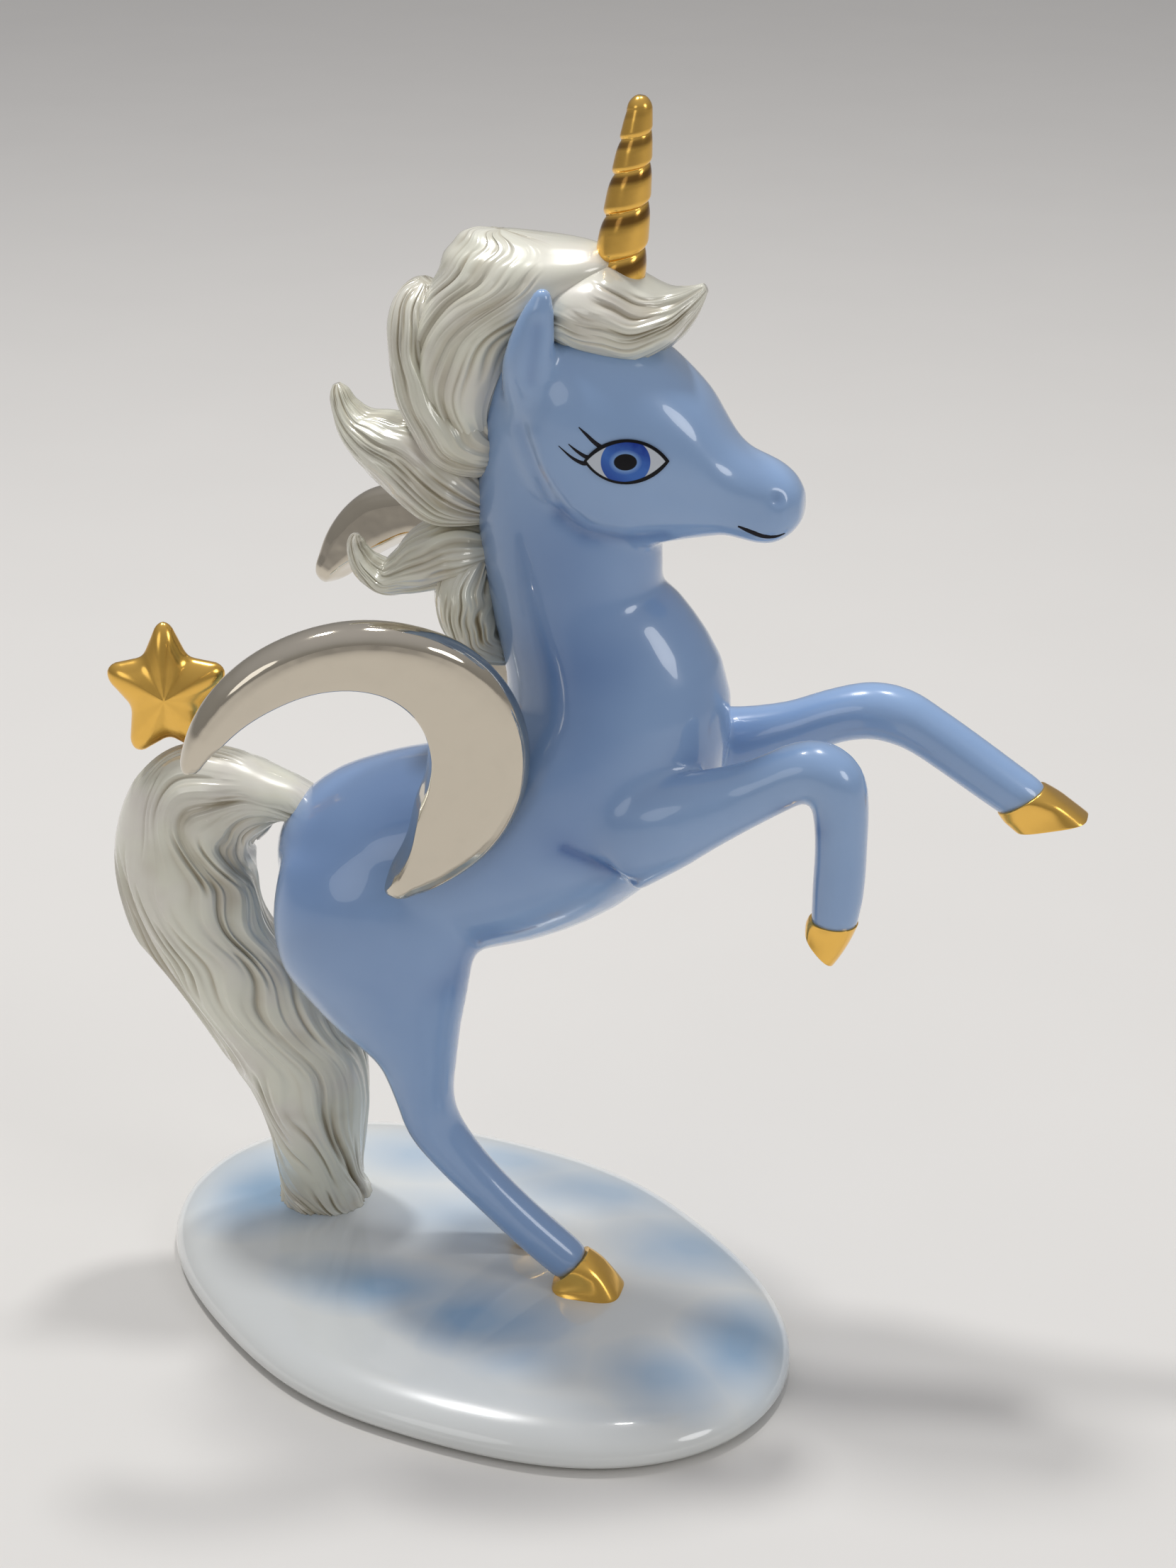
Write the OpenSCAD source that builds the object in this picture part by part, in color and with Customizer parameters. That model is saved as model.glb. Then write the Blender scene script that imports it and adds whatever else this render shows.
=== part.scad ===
// Porcelain figurine: a rearing unicorn on a cloud-shaped base, with two crescent moons at its
// shoulders and a star on its tail. Each casting is a separate solid, luted or glued to the next.
// Millimetres. +Z is up, +X is the way the animal faces, +Y is its left side.
// The origin lies on the plane that the base stands on.

/* [Facets] */
// Facets round a body section
body_sides = 24; // [16:4:32]
// Facets round a leg or a lock of hair
limb_sides = 14; // [10:2:20]
// Rings between two stations of a body or a limb
ring_steps = 2; // [1:1:3]

/* [Base] */
// Mean radius of the cloud-shaped base
base_r = 36.5; // [35:0.5:40]
// How far the base is drawn out along its long axis, each way
base_stretch = 7; // [5:0.5:9]
// Depth of the lobes in the base's outline
base_lobe = 1.4; // [0:0.1:2]
// Turn of the base's long axis from the animal's own line
base_turn = -27; // [-45:1:0]
// Height of the base's flat top
base_h = 6; // [5:0.5:8]

/* [Body] */
// Half width of the barrel across the ribs
barrel_half_w = 12.8; // [11:0.1:14]
// Half width of the head across the cheeks
cheek_half_w = 9.8; // [8.5:0.1:11]
// Wall of the hollow body casting
cast_wall = 3; // [2:0.1:4]

/* [Horn] */
// Length of the horn from its root
horn_len = 21; // [16:0.5:26]
// Diameter at the root of the horn
horn_root_d = 5.8; // [4.5:0.1:7]
// Diameter at the tip of the horn
horn_tip_d = 2.2; // [1.5:0.1:3]
// Turns of the spiral
horn_turns = 5; // [3:0.5:7]
// Depth of the spiral groove as a share of the radius
horn_groove = 0.16; // [0.05:0.01:0.25]

/* [Moons and star] */
// Radius of a crescent's outer edge
moon_r = 18.8; // [16:0.1:22]
// Thickness of a crescent
moon_t = 5; // [3:0.1:7]
// Radius of the star to its points
star_r = 9.6; // [8:0.1:11]
// Radius of the star to its valleys
star_valley_r = 5.4; // [4:0.1:6]
// Thickness of the star at its middle
star_t = 5.5; // [4:0.1:7]

/* [Hidden] */
// Height as a share of the base's own, and how far the edge is drawn in there
base_edge = [[1, 7], [0.96, 4.6], [0.86, 2.4], [0.7, 0.9], [0.5, 0.1], [0.34, 0], [0.18, 0.4],
    [0.06, 1.1], [0, 2]];
base_sides = 72;
glaze = "lightsteelblue";
pearl = "ivory";
gold = "goldenrod";
platinum = "silver";
white = "white";
across = [0, 1, 0];

// A station is [x, y, z, half size in the plane of the bend, half size across].
bw = barrel_half_w;
trunk_line = [[-24, 0, 57.2, 1.5, 1.5], [-22.9, 0, 57.4, 4.9, 4.9], [-19.7, 0, 58, 8.4, 8.4],
    [-14.5, 0, 59, 11.2, 0.92 * bw], [-8, 0, 60.4, 12.3, bw], [-1, 0, 62.2, 12.6, 0.98 * bw],
    [6, 0, 65.1, 13, 0.98 * bw], [12, 0, 69.6, 13.4, bw], [16, 0, 75.8, 13.4, 0.97 * bw],
    [17.2, 0, 82.6, 13.2, 0.86 * bw], [15.4, 0, 88.4, 11.6, 0.76 * bw], [13, 0, 93.6, 9.9, 0.69 * bw],
    [12.2, 0, 100, 10.2, 0.64 * bw], [11.6, 0, 106, 10.2, 0.61 * bw], [11.3, 0, 112, 9.5, 0.58 * bw]];
neck_station = 10;
rump_wall_station = 2;
cw = cheek_half_w;
head_line = [[2.4, 0, 116, 2, 0.15 * cw], [3.6, 0, 116, 6, 0.37 * cw], [6, 0, 115.8, 9.2, 0.59 * cw],
    [8, 0, 115.4, 10.5, 0.76 * cw], [10, 0, 115, 11.4, 0.89 * cw], [12.5, 0, 114.6, 12, 0.98 * cw],
    [16, 0, 114.1, 12.2, cw], [19, 0, 113.7, 11.6, 0.97 * cw], [22, 0, 113.1, 10.6, 0.9 * cw],
    [24.5, 0, 112.4, 9.3, 0.82 * cw], [27, 0, 111.4, 7.9, 0.71 * cw], [28.6, 0, 110.1, 6.5, 0.64 * cw],
    [30, 0, 108.9, 5.2, 0.59 * cw], [31.6, 0, 107.8, 4.4, 0.55 * cw], [33.6, 0, 107.1, 4.1, 0.51 * cw],
    [35.4, 0, 106.8, 3.5, 0.45 * cw], [37, 0, 106.8, 2.3, 0.35 * cw], [37.9, 0, 106.8, 1, 0.16 * cw]];
head_squareness = 0.83;
foreleg_line = [[19, -8, 68.5, 6.5, 5], [24.5, -9.3, 71.6, 5.6, 4.6], [28.8, -9.4, 73.8, 4.7, 4.1],
    [34, -9, 76.2, 3.7, 3.5], [37.5, -9, 78.2, 3.4, 3.4], [39.6, -9, 79.3, 3.4, 3.4],
    [42, -9, 79.7, 3.5, 3.4], [44, -9, 78.3, 3.5, 3.3], [44.9, -9, 75.4, 3.2, 3.1],
    [45, -9, 71, 3, 3], [44.8, -9, 66.5, 2.95, 2.95], [44.4, -9, 62.2, 2.6, 2.6]];
far_foreleg_line = [[20, 8, 69.5, 6.5, 5], [26, 8.8, 73.2, 5.4, 4.4], [32, 8.4, 75.6, 4, 3.7],
    [36.5, 8.2, 77.3, 3.4, 3.3], [40.8, 8, 79.4, 3.1, 3], [45, 8, 80.6, 3.2, 3.2],
    [48.4, 8, 80.2, 3.2, 3.1], [51.5, 8, 78.8, 2.95, 2.9], [55.7, 8, 76.2, 2.9, 2.9],
    [61, 8, 72.8, 2.9, 2.9]];
hind_leg_line = [[-12.6, -7, 63, 8.2, 5.1], [-11.2, -8.4, 57.5, 11, 6], [-8.8, -8.4, 51.2, 11.6, 5.8],
    [-6.6, -7.5, 44.2, 8.7, 4.8], [-5.2, -6.4, 37.2, 5.2, 4], [-4.9, -5.8, 31.4, 3.7, 3.5],
    [-3.8, -5.5, 27, 3.4, 3.2], [-0.8, -5.4, 22.8, 3, 2.9], [3, -5.2, 18.6, 2.75, 2.7],
    [7.4, -4.9, 14.2, 2.7, 2.7], [12, -4.5, 10, 2.7, 2.7]];
far_hind_leg_line = [[-12, 7.5, 62, 8, 5], [-11.4, 8.4, 57, 10, 5.6], [-10, 7.8, 51, 9.4, 5.2],
    [-8.6, 6.4, 44, 6.6, 4.4], [-8.8, 5, 38, 4.4, 3.8], [-9.3, 4.2, 33, 3.3, 3.2],
    [-8.6, 3.8, 28.6, 2.9, 2.9], [-7.3, 3.5, 24, 2.6, 2.6], [-5, 3.4, 19.6, 2.4, 2.4],
    [-0.9, 3.3, 14.6, 2.3, 2.3], [3.8, 3.2, 10, 2.3, 2.3]];
tail_line = [[-18, 0, 62, 3, 3], [-23, 0, 64.8, 3.8, 3.8], [-27.5, 0, 66.2, 5, 4.6],
    [-31.8, 0, 65.8, 6.4, 5.2], [-35.4, 0, 62.8, 7.6, 5.6], [-37, 0, 57.8, 8, 5.8],
    [-36.6, 0.2, 52.4, 8.2, 6], [-35.2, 0.7, 47.4, 7.9, 6], [-32.6, 1.5, 42.6, 7.3, 5.8],
    [-29.3, 2.6, 37.4, 7.1, 5.6], [-26, 4, 31.4, 7.4, 5.4], [-23.8, 5.4, 25.4, 7.3, 5.3],
    [-23, 6.8, 19, 6.5, 5.2], [-23.2, 7.8, 12.5, 5.8, 5.1], [-23.2, 8.2, 9, 5.6, 5.2],
    [-23, 8.2, base_h, 6.2, 5.6]];
ear_line = [[8.8, -6, 119.5, 2.2, 1.4], [9.2, -7, 122.5, 2.8, 2], [9.8, -7.6, 125.5, 2.6, 1.8],
    [10.6, -7.8, 128.4, 1.6, 1.2], [11.2, -7.8, 130.6, 0.4, 0.4]];
forelock_line = [[10.5, 0, 127, 3, 5], [13, 0, 127.3, 4.3, 7], [17, 0, 127, 4.6, 7.6],
    [20.2, 0, 126.3, 4, 6.6], [23.1, 0, 127.3, 2.7, 4.6], [25.2, 0, 129, 1.6, 2.4],
    [26.6, 0, 130.9, 0.4, 0.5]];
poll_lock = [[17, 0, 129.6, 2, 4], [14, 0, 130.6, 3.4, 5.5], [9.5, 0, 129.9, 4.2, 7],
    [4, 0, 130.4, 4.8, 8], [0.6, 0, 128.2, 5, 8], [-0.6, 0, 122.4, 5, 8], [0.6, 0, 116, 3.8, 6.6],
    [1.6, 0, 111, 1.4, 3]];
crest_lock = [[3, 0, 106, 1.6, 3], [0.4, 0, 109, 4, 6.6], [-2.2, 0, 113, 5, 7.4],
    [-3.5, 0, 118, 5, 7], [-4.2, 0, 123, 4.6, 6.2], [-4.2, 0, 126.8, 3.2, 4.4], [-3.6, 0, 129.4, 1, 1.6]];
upper_curl = [[3, 0, 104, 2, 3], [-1, 0, 106, 4.6, 6.2], [-5.4, 0, 108.8, 4.8, 5.6],
    [-9.3, 0, 110.5, 3.8, 4.6], [-12.5, 0, 112.6, 2.3, 3], [-14.3, 0, 115, 1.1, 1.5],
    [-15, 0, 117.2, 0.4, 0.5]];
lower_curl = [[3.5, 0, 99.5, 2, 3], [0, 0, 99.2, 4, 6], [-3.6, 0, 97.8, 3.9, 5.4],
    [-6.8, 0, 95.6, 2.9, 4.2], [-9.8, 0, 94.5, 2.2, 3.2], [-12.4, 0, 95.5, 1.7, 2.2],
    [-13.5, 0, 97.6, 0.9, 1.2], [-13.2, 0, 99.8, 0.3, 0.4]];
withers_lock = [[2.6, 0, 99.5, 1.6, 3], [0.7, 0, 96, 3.5, 6.4], [0.8, 0, 92.4, 3.6, 7.2],
    [2.4, 0, 89.4, 3, 6.6], [4.4, 0, 87.4, 1.7, 4], [5.8, 0, 86.2, 0.5, 1.5]];
horn_root = [17.2, 0, 129.6];
horn_lean = 7;
horn_rings = 44;
horn_taper_power = 1.4;
horn_nose_from = 0.94;
horn_nose_to = 1.01;
star_at = [-37.2, 0, 78];
star_turn = [87, -88, 8];
star_ring_count = 5;
star_sides = 40;
star_valley_drop = 0.45;
star_point_power = 1.3;
star_crown_angle = 4;
moon_joint = [10.5, -14, 87];
moon_shift = [-1.95, -1.2, 2];
// A crescent's inner edge, as an angle and a share of the outer radius
moon_inner = [[-86, 0.93], [-80, 0.76], [-69, 0.6], [-55, 0.49], [-42, 0.44], [-25, 0.43], [-6, 0.43],
    [17, 0.45], [45, 0.51], [68, 0.56], [103, 0.61], [129, 0.67], [152, 0.79], [166, 0.9], [174, 0.97]];
moon_tip_half_t = 0.6;
moon_tip_slope = 1.2;
moon_squareness = 0.7;
hoof_swell = 0.55;
moon_x = [0.931, 0.359, 0.066];
moon_z = [0, -0.181, 0.984];
moon_reach = [19.1, 6];
moon_centre = moon_joint - moon_reach[0] * moon_x - moon_reach[1] * moon_z;

function unit(v) = v / norm(v);
function pick(list, i) = list[max(0, min(len(list) - 1, i))];
function spot(station) = [station[0], station[1], station[2]];
function glide(a, b, c, d, t) =
    (2 * b + (c - a) * t + (2 * a - 5 * b + 4 * c - d) * t * t + (3 * b - a - 3 * c + d) * t * t * t) / 2;
function smooth(line, steps) = [for (i = [0 : len(line) - 2]) for (k = [0 : steps - 1])
    glide(pick(line, i - 1), line[i], line[i + 1], pick(line, i + 2), k / steps), line[len(line) - 1]];
function heading(line, i) = unit(spot(pick(line, i + 1)) - spot(pick(line, i - 1)));
function section(line, i, sides, inset = 0) = let (t = heading(line, i),
    side = unit(across - (across * t) * t), up = cross(t, side))
    [for (k = [0 : sides - 1]) let (a = 360 * k / sides)
        spot(line[i]) + (line[i][3] - inset) * cos(a) * up + (line[i][4] - inset) * sin(a) * side];
function squared(v, power) = sign(v) * pow(abs(v), power);
function sections(line, sides) = [for (i = [0 : len(line) - 1]) section(line, i, sides)];
function reversed(list) = [for (i = [len(list) - 1 : -1 : 0]) list[i]];

// Skin over a row of rings with the same number of points; a looped row closes on itself.
module skin(rings, looped = false) {
    n = len(rings[0]);
    last = len(rings) - 1;
    points = [for (ring = rings) for (p = ring) p];
    sides = [for (i = [0 : looped ? last : last - 1]) for (k = [0 : n - 1])
        let (j = (i + 1) % (last + 1), m = (k + 1) % n)
        each [[i * n + k, i * n + m, j * n + m], [i * n + k, j * n + m, j * n + k]]];
    ends = looped ? [] : [[for (k = [n - 1 : -1 : 0]) k], [for (k = [0 : n - 1]) last * n + k]];
    polyhedron(points, concat(sides, ends), convexity = 6);
}

module limb(line) {
    skin(sections(smooth(line, ring_steps), limb_sides));
}

// Cloud outline at a height, drawn in from its full reach
function cloud_ring(z, inset) = [for (k = [0 : base_sides - 1]) let (a = 360 * k / base_sides,
    turned = a - base_turn,
    r = base_r + base_stretch * cos(2 * turned) + base_lobe * cos(4 * turned) - inset)
    [r * cos(a), r * sin(a), z]];

// The edge is rolled over to a flat top and a flat unglazed underside.
module cloud_base() {
    color(white) skin([for (step = base_edge) cloud_ring(step[0] * base_h, step[1])]);
}

trunk = smooth(trunk_line, ring_steps);
neck_ring = neck_station * ring_steps;
function trunk_rings(first, last, inset = 0) =
    [for (i = [first : last]) section(trunk, i, body_sides, inset)];

module trunk_form() {
    skin(trunk_rings(0, len(trunk) - 1));
}

// The torso is a hollow casting, open at the neck.
module torso() {
    inner = trunk_rings(rump_wall_station * ring_steps, neck_ring, cast_wall);
    color(glaze) skin(concat(trunk_rings(0, neck_ring), reversed(inner)));
}

module neck() {
    top = len(trunk) - 1;
    bore = reversed(trunk_rings(neck_ring, top, cast_wall));
    color(glaze) difference() {
        skin(concat(trunk_rings(neck_ring, top), bore), looped = true);
        head();
    }
}

// The head's rings stand upright, with flattened cheeks and a flat front to the face.
function head_ring(station) = [for (k = [0 : body_sides - 1]) let (a = 360 * k / body_sides)
    spot(station) + [0, station[4] * squared(sin(a), head_squareness),
        station[3] * squared(cos(a), head_squareness)]];

module head() {
    color(glaze) skin([for (station = smooth(head_line, ring_steps)) head_ring(station)]);
}

module ear_form() {
    limb(ear_line);
}

module right_ear() {
    color(glaze) difference() {
        ear_form();
        head();
    }
}

module left_ear() {
    mirror([0, 1, 0]) right_ear();
}

// Radius of the horn at a share of its length, with a rounded nose and a spiral groove
function horn_taper(s) = (horn_root_d + (horn_tip_d - horn_root_d) * pow(s, horn_taper_power)) / 2;
function horn_nose(s) = s < horn_nose_from ? 1
    : sqrt(1 - pow((s - horn_nose_from) / (horn_nose_to - horn_nose_from), 2));
function horn_ring(s) = [for (k = [0 : limb_sides - 1]) let (a = 360 * k / limb_sides,
    groove = 1 - horn_groove * pow(cos(180 * horn_turns * s + a / 2), 2),
    r = horn_taper(s) * horn_nose(s) * groove) [r * cos(a), -r * sin(a), s * horn_len]];

module horn_form() {
    translate(horn_root) rotate([0, horn_lean, 0])
        skin([for (i = [0 : horn_rings]) horn_ring(i / horn_rings)]);
}

module horn() {
    color(gold) difference() {
        horn_form();
        limb(forelock_line);
        head();
    }
}

module forelock() {
    color(pearl) difference() {
        limb(forelock_line);
        head();
        right_ear();
        left_ear();
    }
}

module mane_poll() {
    color(pearl) difference() {
        limb(poll_lock);
        head();
        trunk_form();
        limb(forelock_line);
        horn_form();
        ear_form();
        mirror([0, 1, 0]) ear_form();
    }
}

module mane_crest() {
    color(pearl) difference() {
        limb(crest_lock);
        head();
        trunk_form();
        limb(poll_lock);
    }
}

module mane_upper_curl() {
    color(pearl) difference() {
        limb(upper_curl);
        trunk_form();
        head();
        limb(crest_lock);
    }
}

module mane_lower_curl() {
    color(pearl) difference() {
        limb(lower_curl);
        trunk_form();
        limb(upper_curl);
    }
}

module mane_withers() {
    color(pearl) difference() {
        limb(withers_lock);
        trunk_form();
        limb(upper_curl);
        limb(lower_curl);
    }
}

module tail() {
    color(pearl) difference() {
        limb(tail_line);
        trunk_form();
    }
}

// The star swells to its middle and has a soft ridge along each arm.
function star_reach(a) = star_valley_r
    + (star_r - star_valley_r) * pow((1 + cos(5 * a)) / 2, star_point_power);
function star_ring(share, face) = [for (k = [0 : star_sides - 1]) let (a = 360 * k / star_sides,
    r = star_reach(a) * share, ridge = 1 - star_valley_drop * share * share * (1 - cos(5 * a)) / 2,
    h = star_t / 2 * sqrt(1 - share * share) * ridge) [r * cos(a), r * sin(a), face * h]];

module star() {
    spread = 90 - star_crown_angle;
    shares = [for (i = [0 : star_ring_count - 1]) sin(star_crown_angle + spread * i / star_ring_count)];
    rings = concat([for (s = shares) star_ring(s, 1)], [star_ring(1, 0)],
        [for (s = reversed(shares)) star_ring(s, -1)]);
    color(gold) difference() {
        translate(star_at) rotate(star_turn) skin(rings);
        limb(tail_line);
    }
}

// A crescent is swept round the centre of its outer edge.
function moon_section(edge) = let (inner = edge[1] * moon_r, mid = (moon_r + inner) / 2,
    half = (moon_r - inner) / 2, thick = min(moon_t / 2, moon_tip_half_t + half * moon_tip_slope),
    out = cos(edge[0]) * moon_x + sin(edge[0]) * moon_z, face = cross(moon_x, moon_z))
    [for (k = [0 : limb_sides - 1]) let (b = 360 * k / limb_sides)
        moon_centre + (mid + half * squared(cos(b), moon_squareness)) * out
            + thick * squared(sin(b), moon_squareness) * face];

module crescent_form() {
    skin([for (edge = smooth(moon_inner, ring_steps)) moon_section(edge)]);
}

module right_crescent() {
    color(platinum) difference() {
        crescent_form();
        trunk_form();
    }
}

module left_crescent() {
    color(platinum) difference() {
        translate(moon_shift) mirror([0, 1, 0]) crescent_form();
        trunk_form();
    }
}

module leg(line) {
    color(glaze) difference() {
        limb(line);
        trunk_form();
    }
}

module right_foreleg() {
    leg(foreleg_line);
}

module left_foreleg() {
    leg(far_foreleg_line);
}

module right_hind_leg() {
    leg(hind_leg_line);
}

module left_hind_leg() {
    leg(far_hind_leg_line);
}

// A hoof runs from a leg's last ring to an oval sole.
module hoof(line, sole_at, sole_along, sole_across) {
    ends = smooth(line, ring_steps);
    coronet = section(ends, len(ends) - 1, limb_sides);
    sole = [for (k = [0 : limb_sides - 1]) let (a = 360 * k / limb_sides)
        sole_at + cos(a) * sole_along + sin(a) * sole_across];
    middle = [for (k = [0 : limb_sides - 1]) (1 - hoof_swell) * coronet[k] + hoof_swell * sole[k]];
    color(gold) skin([coronet, middle, sole]);
}

module right_fore_hoof() {
    hoof(foreleg_line, [42.7, -9, 58], [1.3, 0, -1.9], [0, 2.3, 0]);
}

module left_fore_hoof() {
    hoof(far_foreleg_line, [66.4, 8, 68.2], [3.8, 0, 1.1], [0, 2.8, 0]);
}

module right_hind_hoof() {
    hoof(hind_leg_line, [15.5, -4.5, base_h], [4, 0, 0], [0, 3.2, 0]);
}

module left_hind_hoof() {
    hoof(far_hind_leg_line, [7.9, 3.2, base_h], [3.2, 0, 0], [0, 2.6, 0]);
}

cloud_base();
torso();
neck();
head();
right_ear();
left_ear();
horn();
forelock();
mane_poll();
mane_crest();
mane_upper_curl();
mane_lower_curl();
mane_withers();
tail();
star();
right_crescent();
left_crescent();
right_foreleg();
left_foreleg();
right_hind_leg();
left_hind_leg();
right_fore_hoof();
left_fore_hoof();
right_hind_hoof();
left_hind_hoof();
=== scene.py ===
"""A porcelain unicorn figurine, dressed around its CAD frame.

The animal is one glazed casting. Its hair is combed in strands under a pearl glaze, its eyes are painted,
and its horn, hooves, star and crescent moons carry metal lustres. It stands on a cloud-shaped base.
Station lists are in millimetres, as the part was drawn; everything built from them is in metres.
"""

import logging
import math
from dataclasses import dataclass
from enum import Enum
from typing import Any, Iterable, Sequence

import bpy
import numpy as np
from mathutils import Matrix, Vector

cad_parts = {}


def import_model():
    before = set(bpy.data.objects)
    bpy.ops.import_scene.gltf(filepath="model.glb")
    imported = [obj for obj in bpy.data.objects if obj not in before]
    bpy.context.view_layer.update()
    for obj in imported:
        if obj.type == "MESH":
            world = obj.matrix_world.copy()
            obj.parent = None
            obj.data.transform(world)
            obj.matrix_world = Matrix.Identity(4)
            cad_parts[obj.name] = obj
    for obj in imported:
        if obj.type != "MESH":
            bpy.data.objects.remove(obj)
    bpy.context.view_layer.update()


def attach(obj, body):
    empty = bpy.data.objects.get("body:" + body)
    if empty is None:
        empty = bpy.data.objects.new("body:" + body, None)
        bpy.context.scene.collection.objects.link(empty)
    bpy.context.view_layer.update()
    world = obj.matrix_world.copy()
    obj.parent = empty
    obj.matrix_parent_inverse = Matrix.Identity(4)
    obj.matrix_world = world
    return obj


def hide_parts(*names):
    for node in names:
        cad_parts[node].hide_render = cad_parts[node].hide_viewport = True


LOG = logging.getLogger("unicorn")
MM = 0.001
ROOT_BODY = "root"
Line = Sequence[Sequence[float]]
Colour = tuple[float, float, float]


class Slot(Enum):
    """The material slots."""

    BLUE = "blue_glaze"
    PEARL = "pearl_glaze"
    WHITE = "white_glaze"
    GOLD = "gold_lustre"
    PLATINUM = "platinum_lustre"


class Side(Enum):
    """The animal's sides, with the sign of Y on each."""

    RIGHT = -1
    LEFT = 1

    @property
    def word(self) -> str:
        """The side's name in a piece's name."""
        return self.name.lower()


# Shader maths


class Value:
    """A number socket that takes part in Python arithmetic."""

    def __init__(self, graph: "Graph", socket: bpy.types.NodeSocket) -> None:
        """Wrap a socket.

        Args:
            graph: The graph that adds the Math nodes.
            socket: The output socket that carries the number.
        """
        self.graph = graph
        self.socket = socket

    def _math(self, operation: str, *terms: Any) -> "Value":
        """Add a Math node over some terms."""
        sockets = dict(enumerate(terms))
        made = self.graph.node("ShaderNodeMath", {"operation": operation}, sockets)
        return Value(self.graph, made.outputs[0])

    def __add__(self, other: Any) -> "Value":
        """Sum."""
        return self._math("ADD", self, other)

    __radd__ = __add__

    def __sub__(self, other: Any) -> "Value":
        """Difference."""
        return self._math("SUBTRACT", self, other)

    def __rsub__(self, other: Any) -> "Value":
        """Reflected difference."""
        return self._math("SUBTRACT", other, self)

    def __mul__(self, other: Any) -> "Value":
        """Product."""
        return self._math("MULTIPLY", self, other)

    __rmul__ = __mul__

    def __truediv__(self, other: Any) -> "Value":
        """Quotient."""
        return self._math("DIVIDE", self, other)

    def clamped(self) -> "Value":
        """The number held between 0 and 1."""
        return self._math("MAXIMUM", self._math("MINIMUM", self, 1.0), 0.0)

    def least(self, other: Any) -> "Value":
        """The smaller of two numbers."""
        return self._math("MINIMUM", self, other)

    def most(self, other: Any) -> "Value":
        """The larger of two numbers."""
        return self._math("MAXIMUM", self, other)

    def root(self) -> "Value":
        """The square root."""
        return self._math("SQRT", self)


class Graph:
    """A node tree under construction."""

    def __init__(self, tree: bpy.types.NodeTree) -> None:
        """Empty a tree.

        Args:
            tree: A material's or a world's node tree.
        """
        self.tree = tree
        self.tree.nodes.clear()

    def node(
        self, kind: str, settings: dict[str, Any] | None = None, sockets: dict[str | int, Any] | None = None
    ) -> bpy.types.Node:
        """Add a node, set it up and fill its sockets.

        Args:
            kind: The node's type.
            settings: Properties to set first; "stops" holds a ramp's positions and colours.
            sockets: Values or links by socket name or index.

        Returns:
            The new node.
        """
        made = self.tree.nodes.new(kind)
        for key, value in (settings or {}).items():
            if key == "stops":
                self._set_stops(made.color_ramp, value)
            else:
                setattr(made, key, value)
        for key, value in (sockets or {}).items():
            self.feed(made.inputs[key], value)
        return made

    def feed(self, socket: bpy.types.NodeSocket, value: Any) -> None:
        """Link a socket to a value, or set it.

        Args:
            socket: The input socket.
            value: A number, a colour, a socket or a Value.
        """
        source = value.socket if isinstance(value, Value) else value
        if isinstance(source, bpy.types.NodeSocket):
            self.tree.links.new(source, socket)
        elif isinstance(source, tuple) and len(source) == 3 and socket.type == "RGBA":
            socket.default_value = (*source, 1.0)
        else:
            socket.default_value = source

    @staticmethod
    def _set_stops(ramp: bpy.types.ColorRamp, stops: Sequence[tuple[float, Colour]]) -> None:
        """Give a colour ramp its stops."""
        while len(ramp.elements) < len(stops):
            ramp.elements.new(1.0)
        for element, (position, colour) in zip(ramp.elements, stops):
            element.position = position
            element.color = (*colour, 1.0)

    def ramp(self, share: Value, stops: Sequence[tuple[float, Colour]]) -> bpy.types.NodeSocket:
        """A colour read off a ramp."""
        return self.node("ShaderNodeValToRGB", {"stops": stops}, {0: share}).outputs[0]

    def mix(self, share: Any, first: Any, second: Any) -> bpy.types.NodeSocket:
        """Blend two colours.

        Args:
            share: How much of the second colour shows.
            first: A colour or a colour socket.
            second: A colour or a colour socket.

        Returns:
            The blended colour.
        """
        return self.node("ShaderNodeMix", {"data_type": "RGBA"}, {0: share, 6: first, 7: second}).outputs[2]


class Surface(Graph):
    """A material's graph around its Principled shader."""

    def __init__(self, name: str) -> None:
        """Start a material.

        Args:
            name: The material's name.
        """
        self.material = bpy.data.materials.new(name)
        self.material.use_nodes = True
        super().__init__(self.material.node_tree)
        self.shader = self.node("ShaderNodeBsdfPrincipled")
        self.node("ShaderNodeOutputMaterial", sockets={"Surface": self.shader.outputs[0]})

    def principled(self, **sockets: Any) -> bpy.types.Material:
        """Feed the shader's sockets, named with underscores for spaces, and hand back the material."""
        for key, value in sockets.items():
            name = key.replace("_", " ").title().replace("Ior", "IOR")
            self.feed(self.shader.inputs[name], value)
        return self.material

    def place(self) -> bpy.types.NodeSocket:
        """Object coordinates."""
        return self.node("ShaderNodeTexCoord").outputs["Object"]

    def axes(self) -> tuple[Value, Value, Value]:
        """Object coordinates as three numbers, in millimetres."""
        split = self.node("ShaderNodeSeparateXYZ", sockets={0: self.place()})
        return tuple(Value(self, out) / MM for out in split.outputs)

    def attribute(self, name: str) -> Value:
        """A number painted on the mesh."""
        return Value(self, self.node("ShaderNodeAttribute", {"attribute_name": name}).outputs["Fac"])

    def noise(self, size: float, detail: float = 2.0) -> Value:
        """Soft noise.

        Args:
            size: Size of one blotch in millimetres.
            detail: Octaves.

        Returns:
            A number about 0.5.
        """
        sockets = {"Vector": self.place(), "Scale": 1.0 / (size * MM), "Detail": detail}
        return Value(self, self.node("ShaderNodeTexNoise", sockets=sockets).outputs[0])

    def bump(self, height: Value, depth: float) -> bpy.types.NodeSocket:
        """A bumped normal.

        Args:
            height: The relief, from 0 to 1.
            depth: Its depth in millimetres.

        Returns:
            The normal.
        """
        sockets = {"Height": height, "Distance": depth * MM, "Strength": 1.0}
        return self.node("ShaderNodeBump", sockets=sockets).outputs[0]


# Finishes


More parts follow.
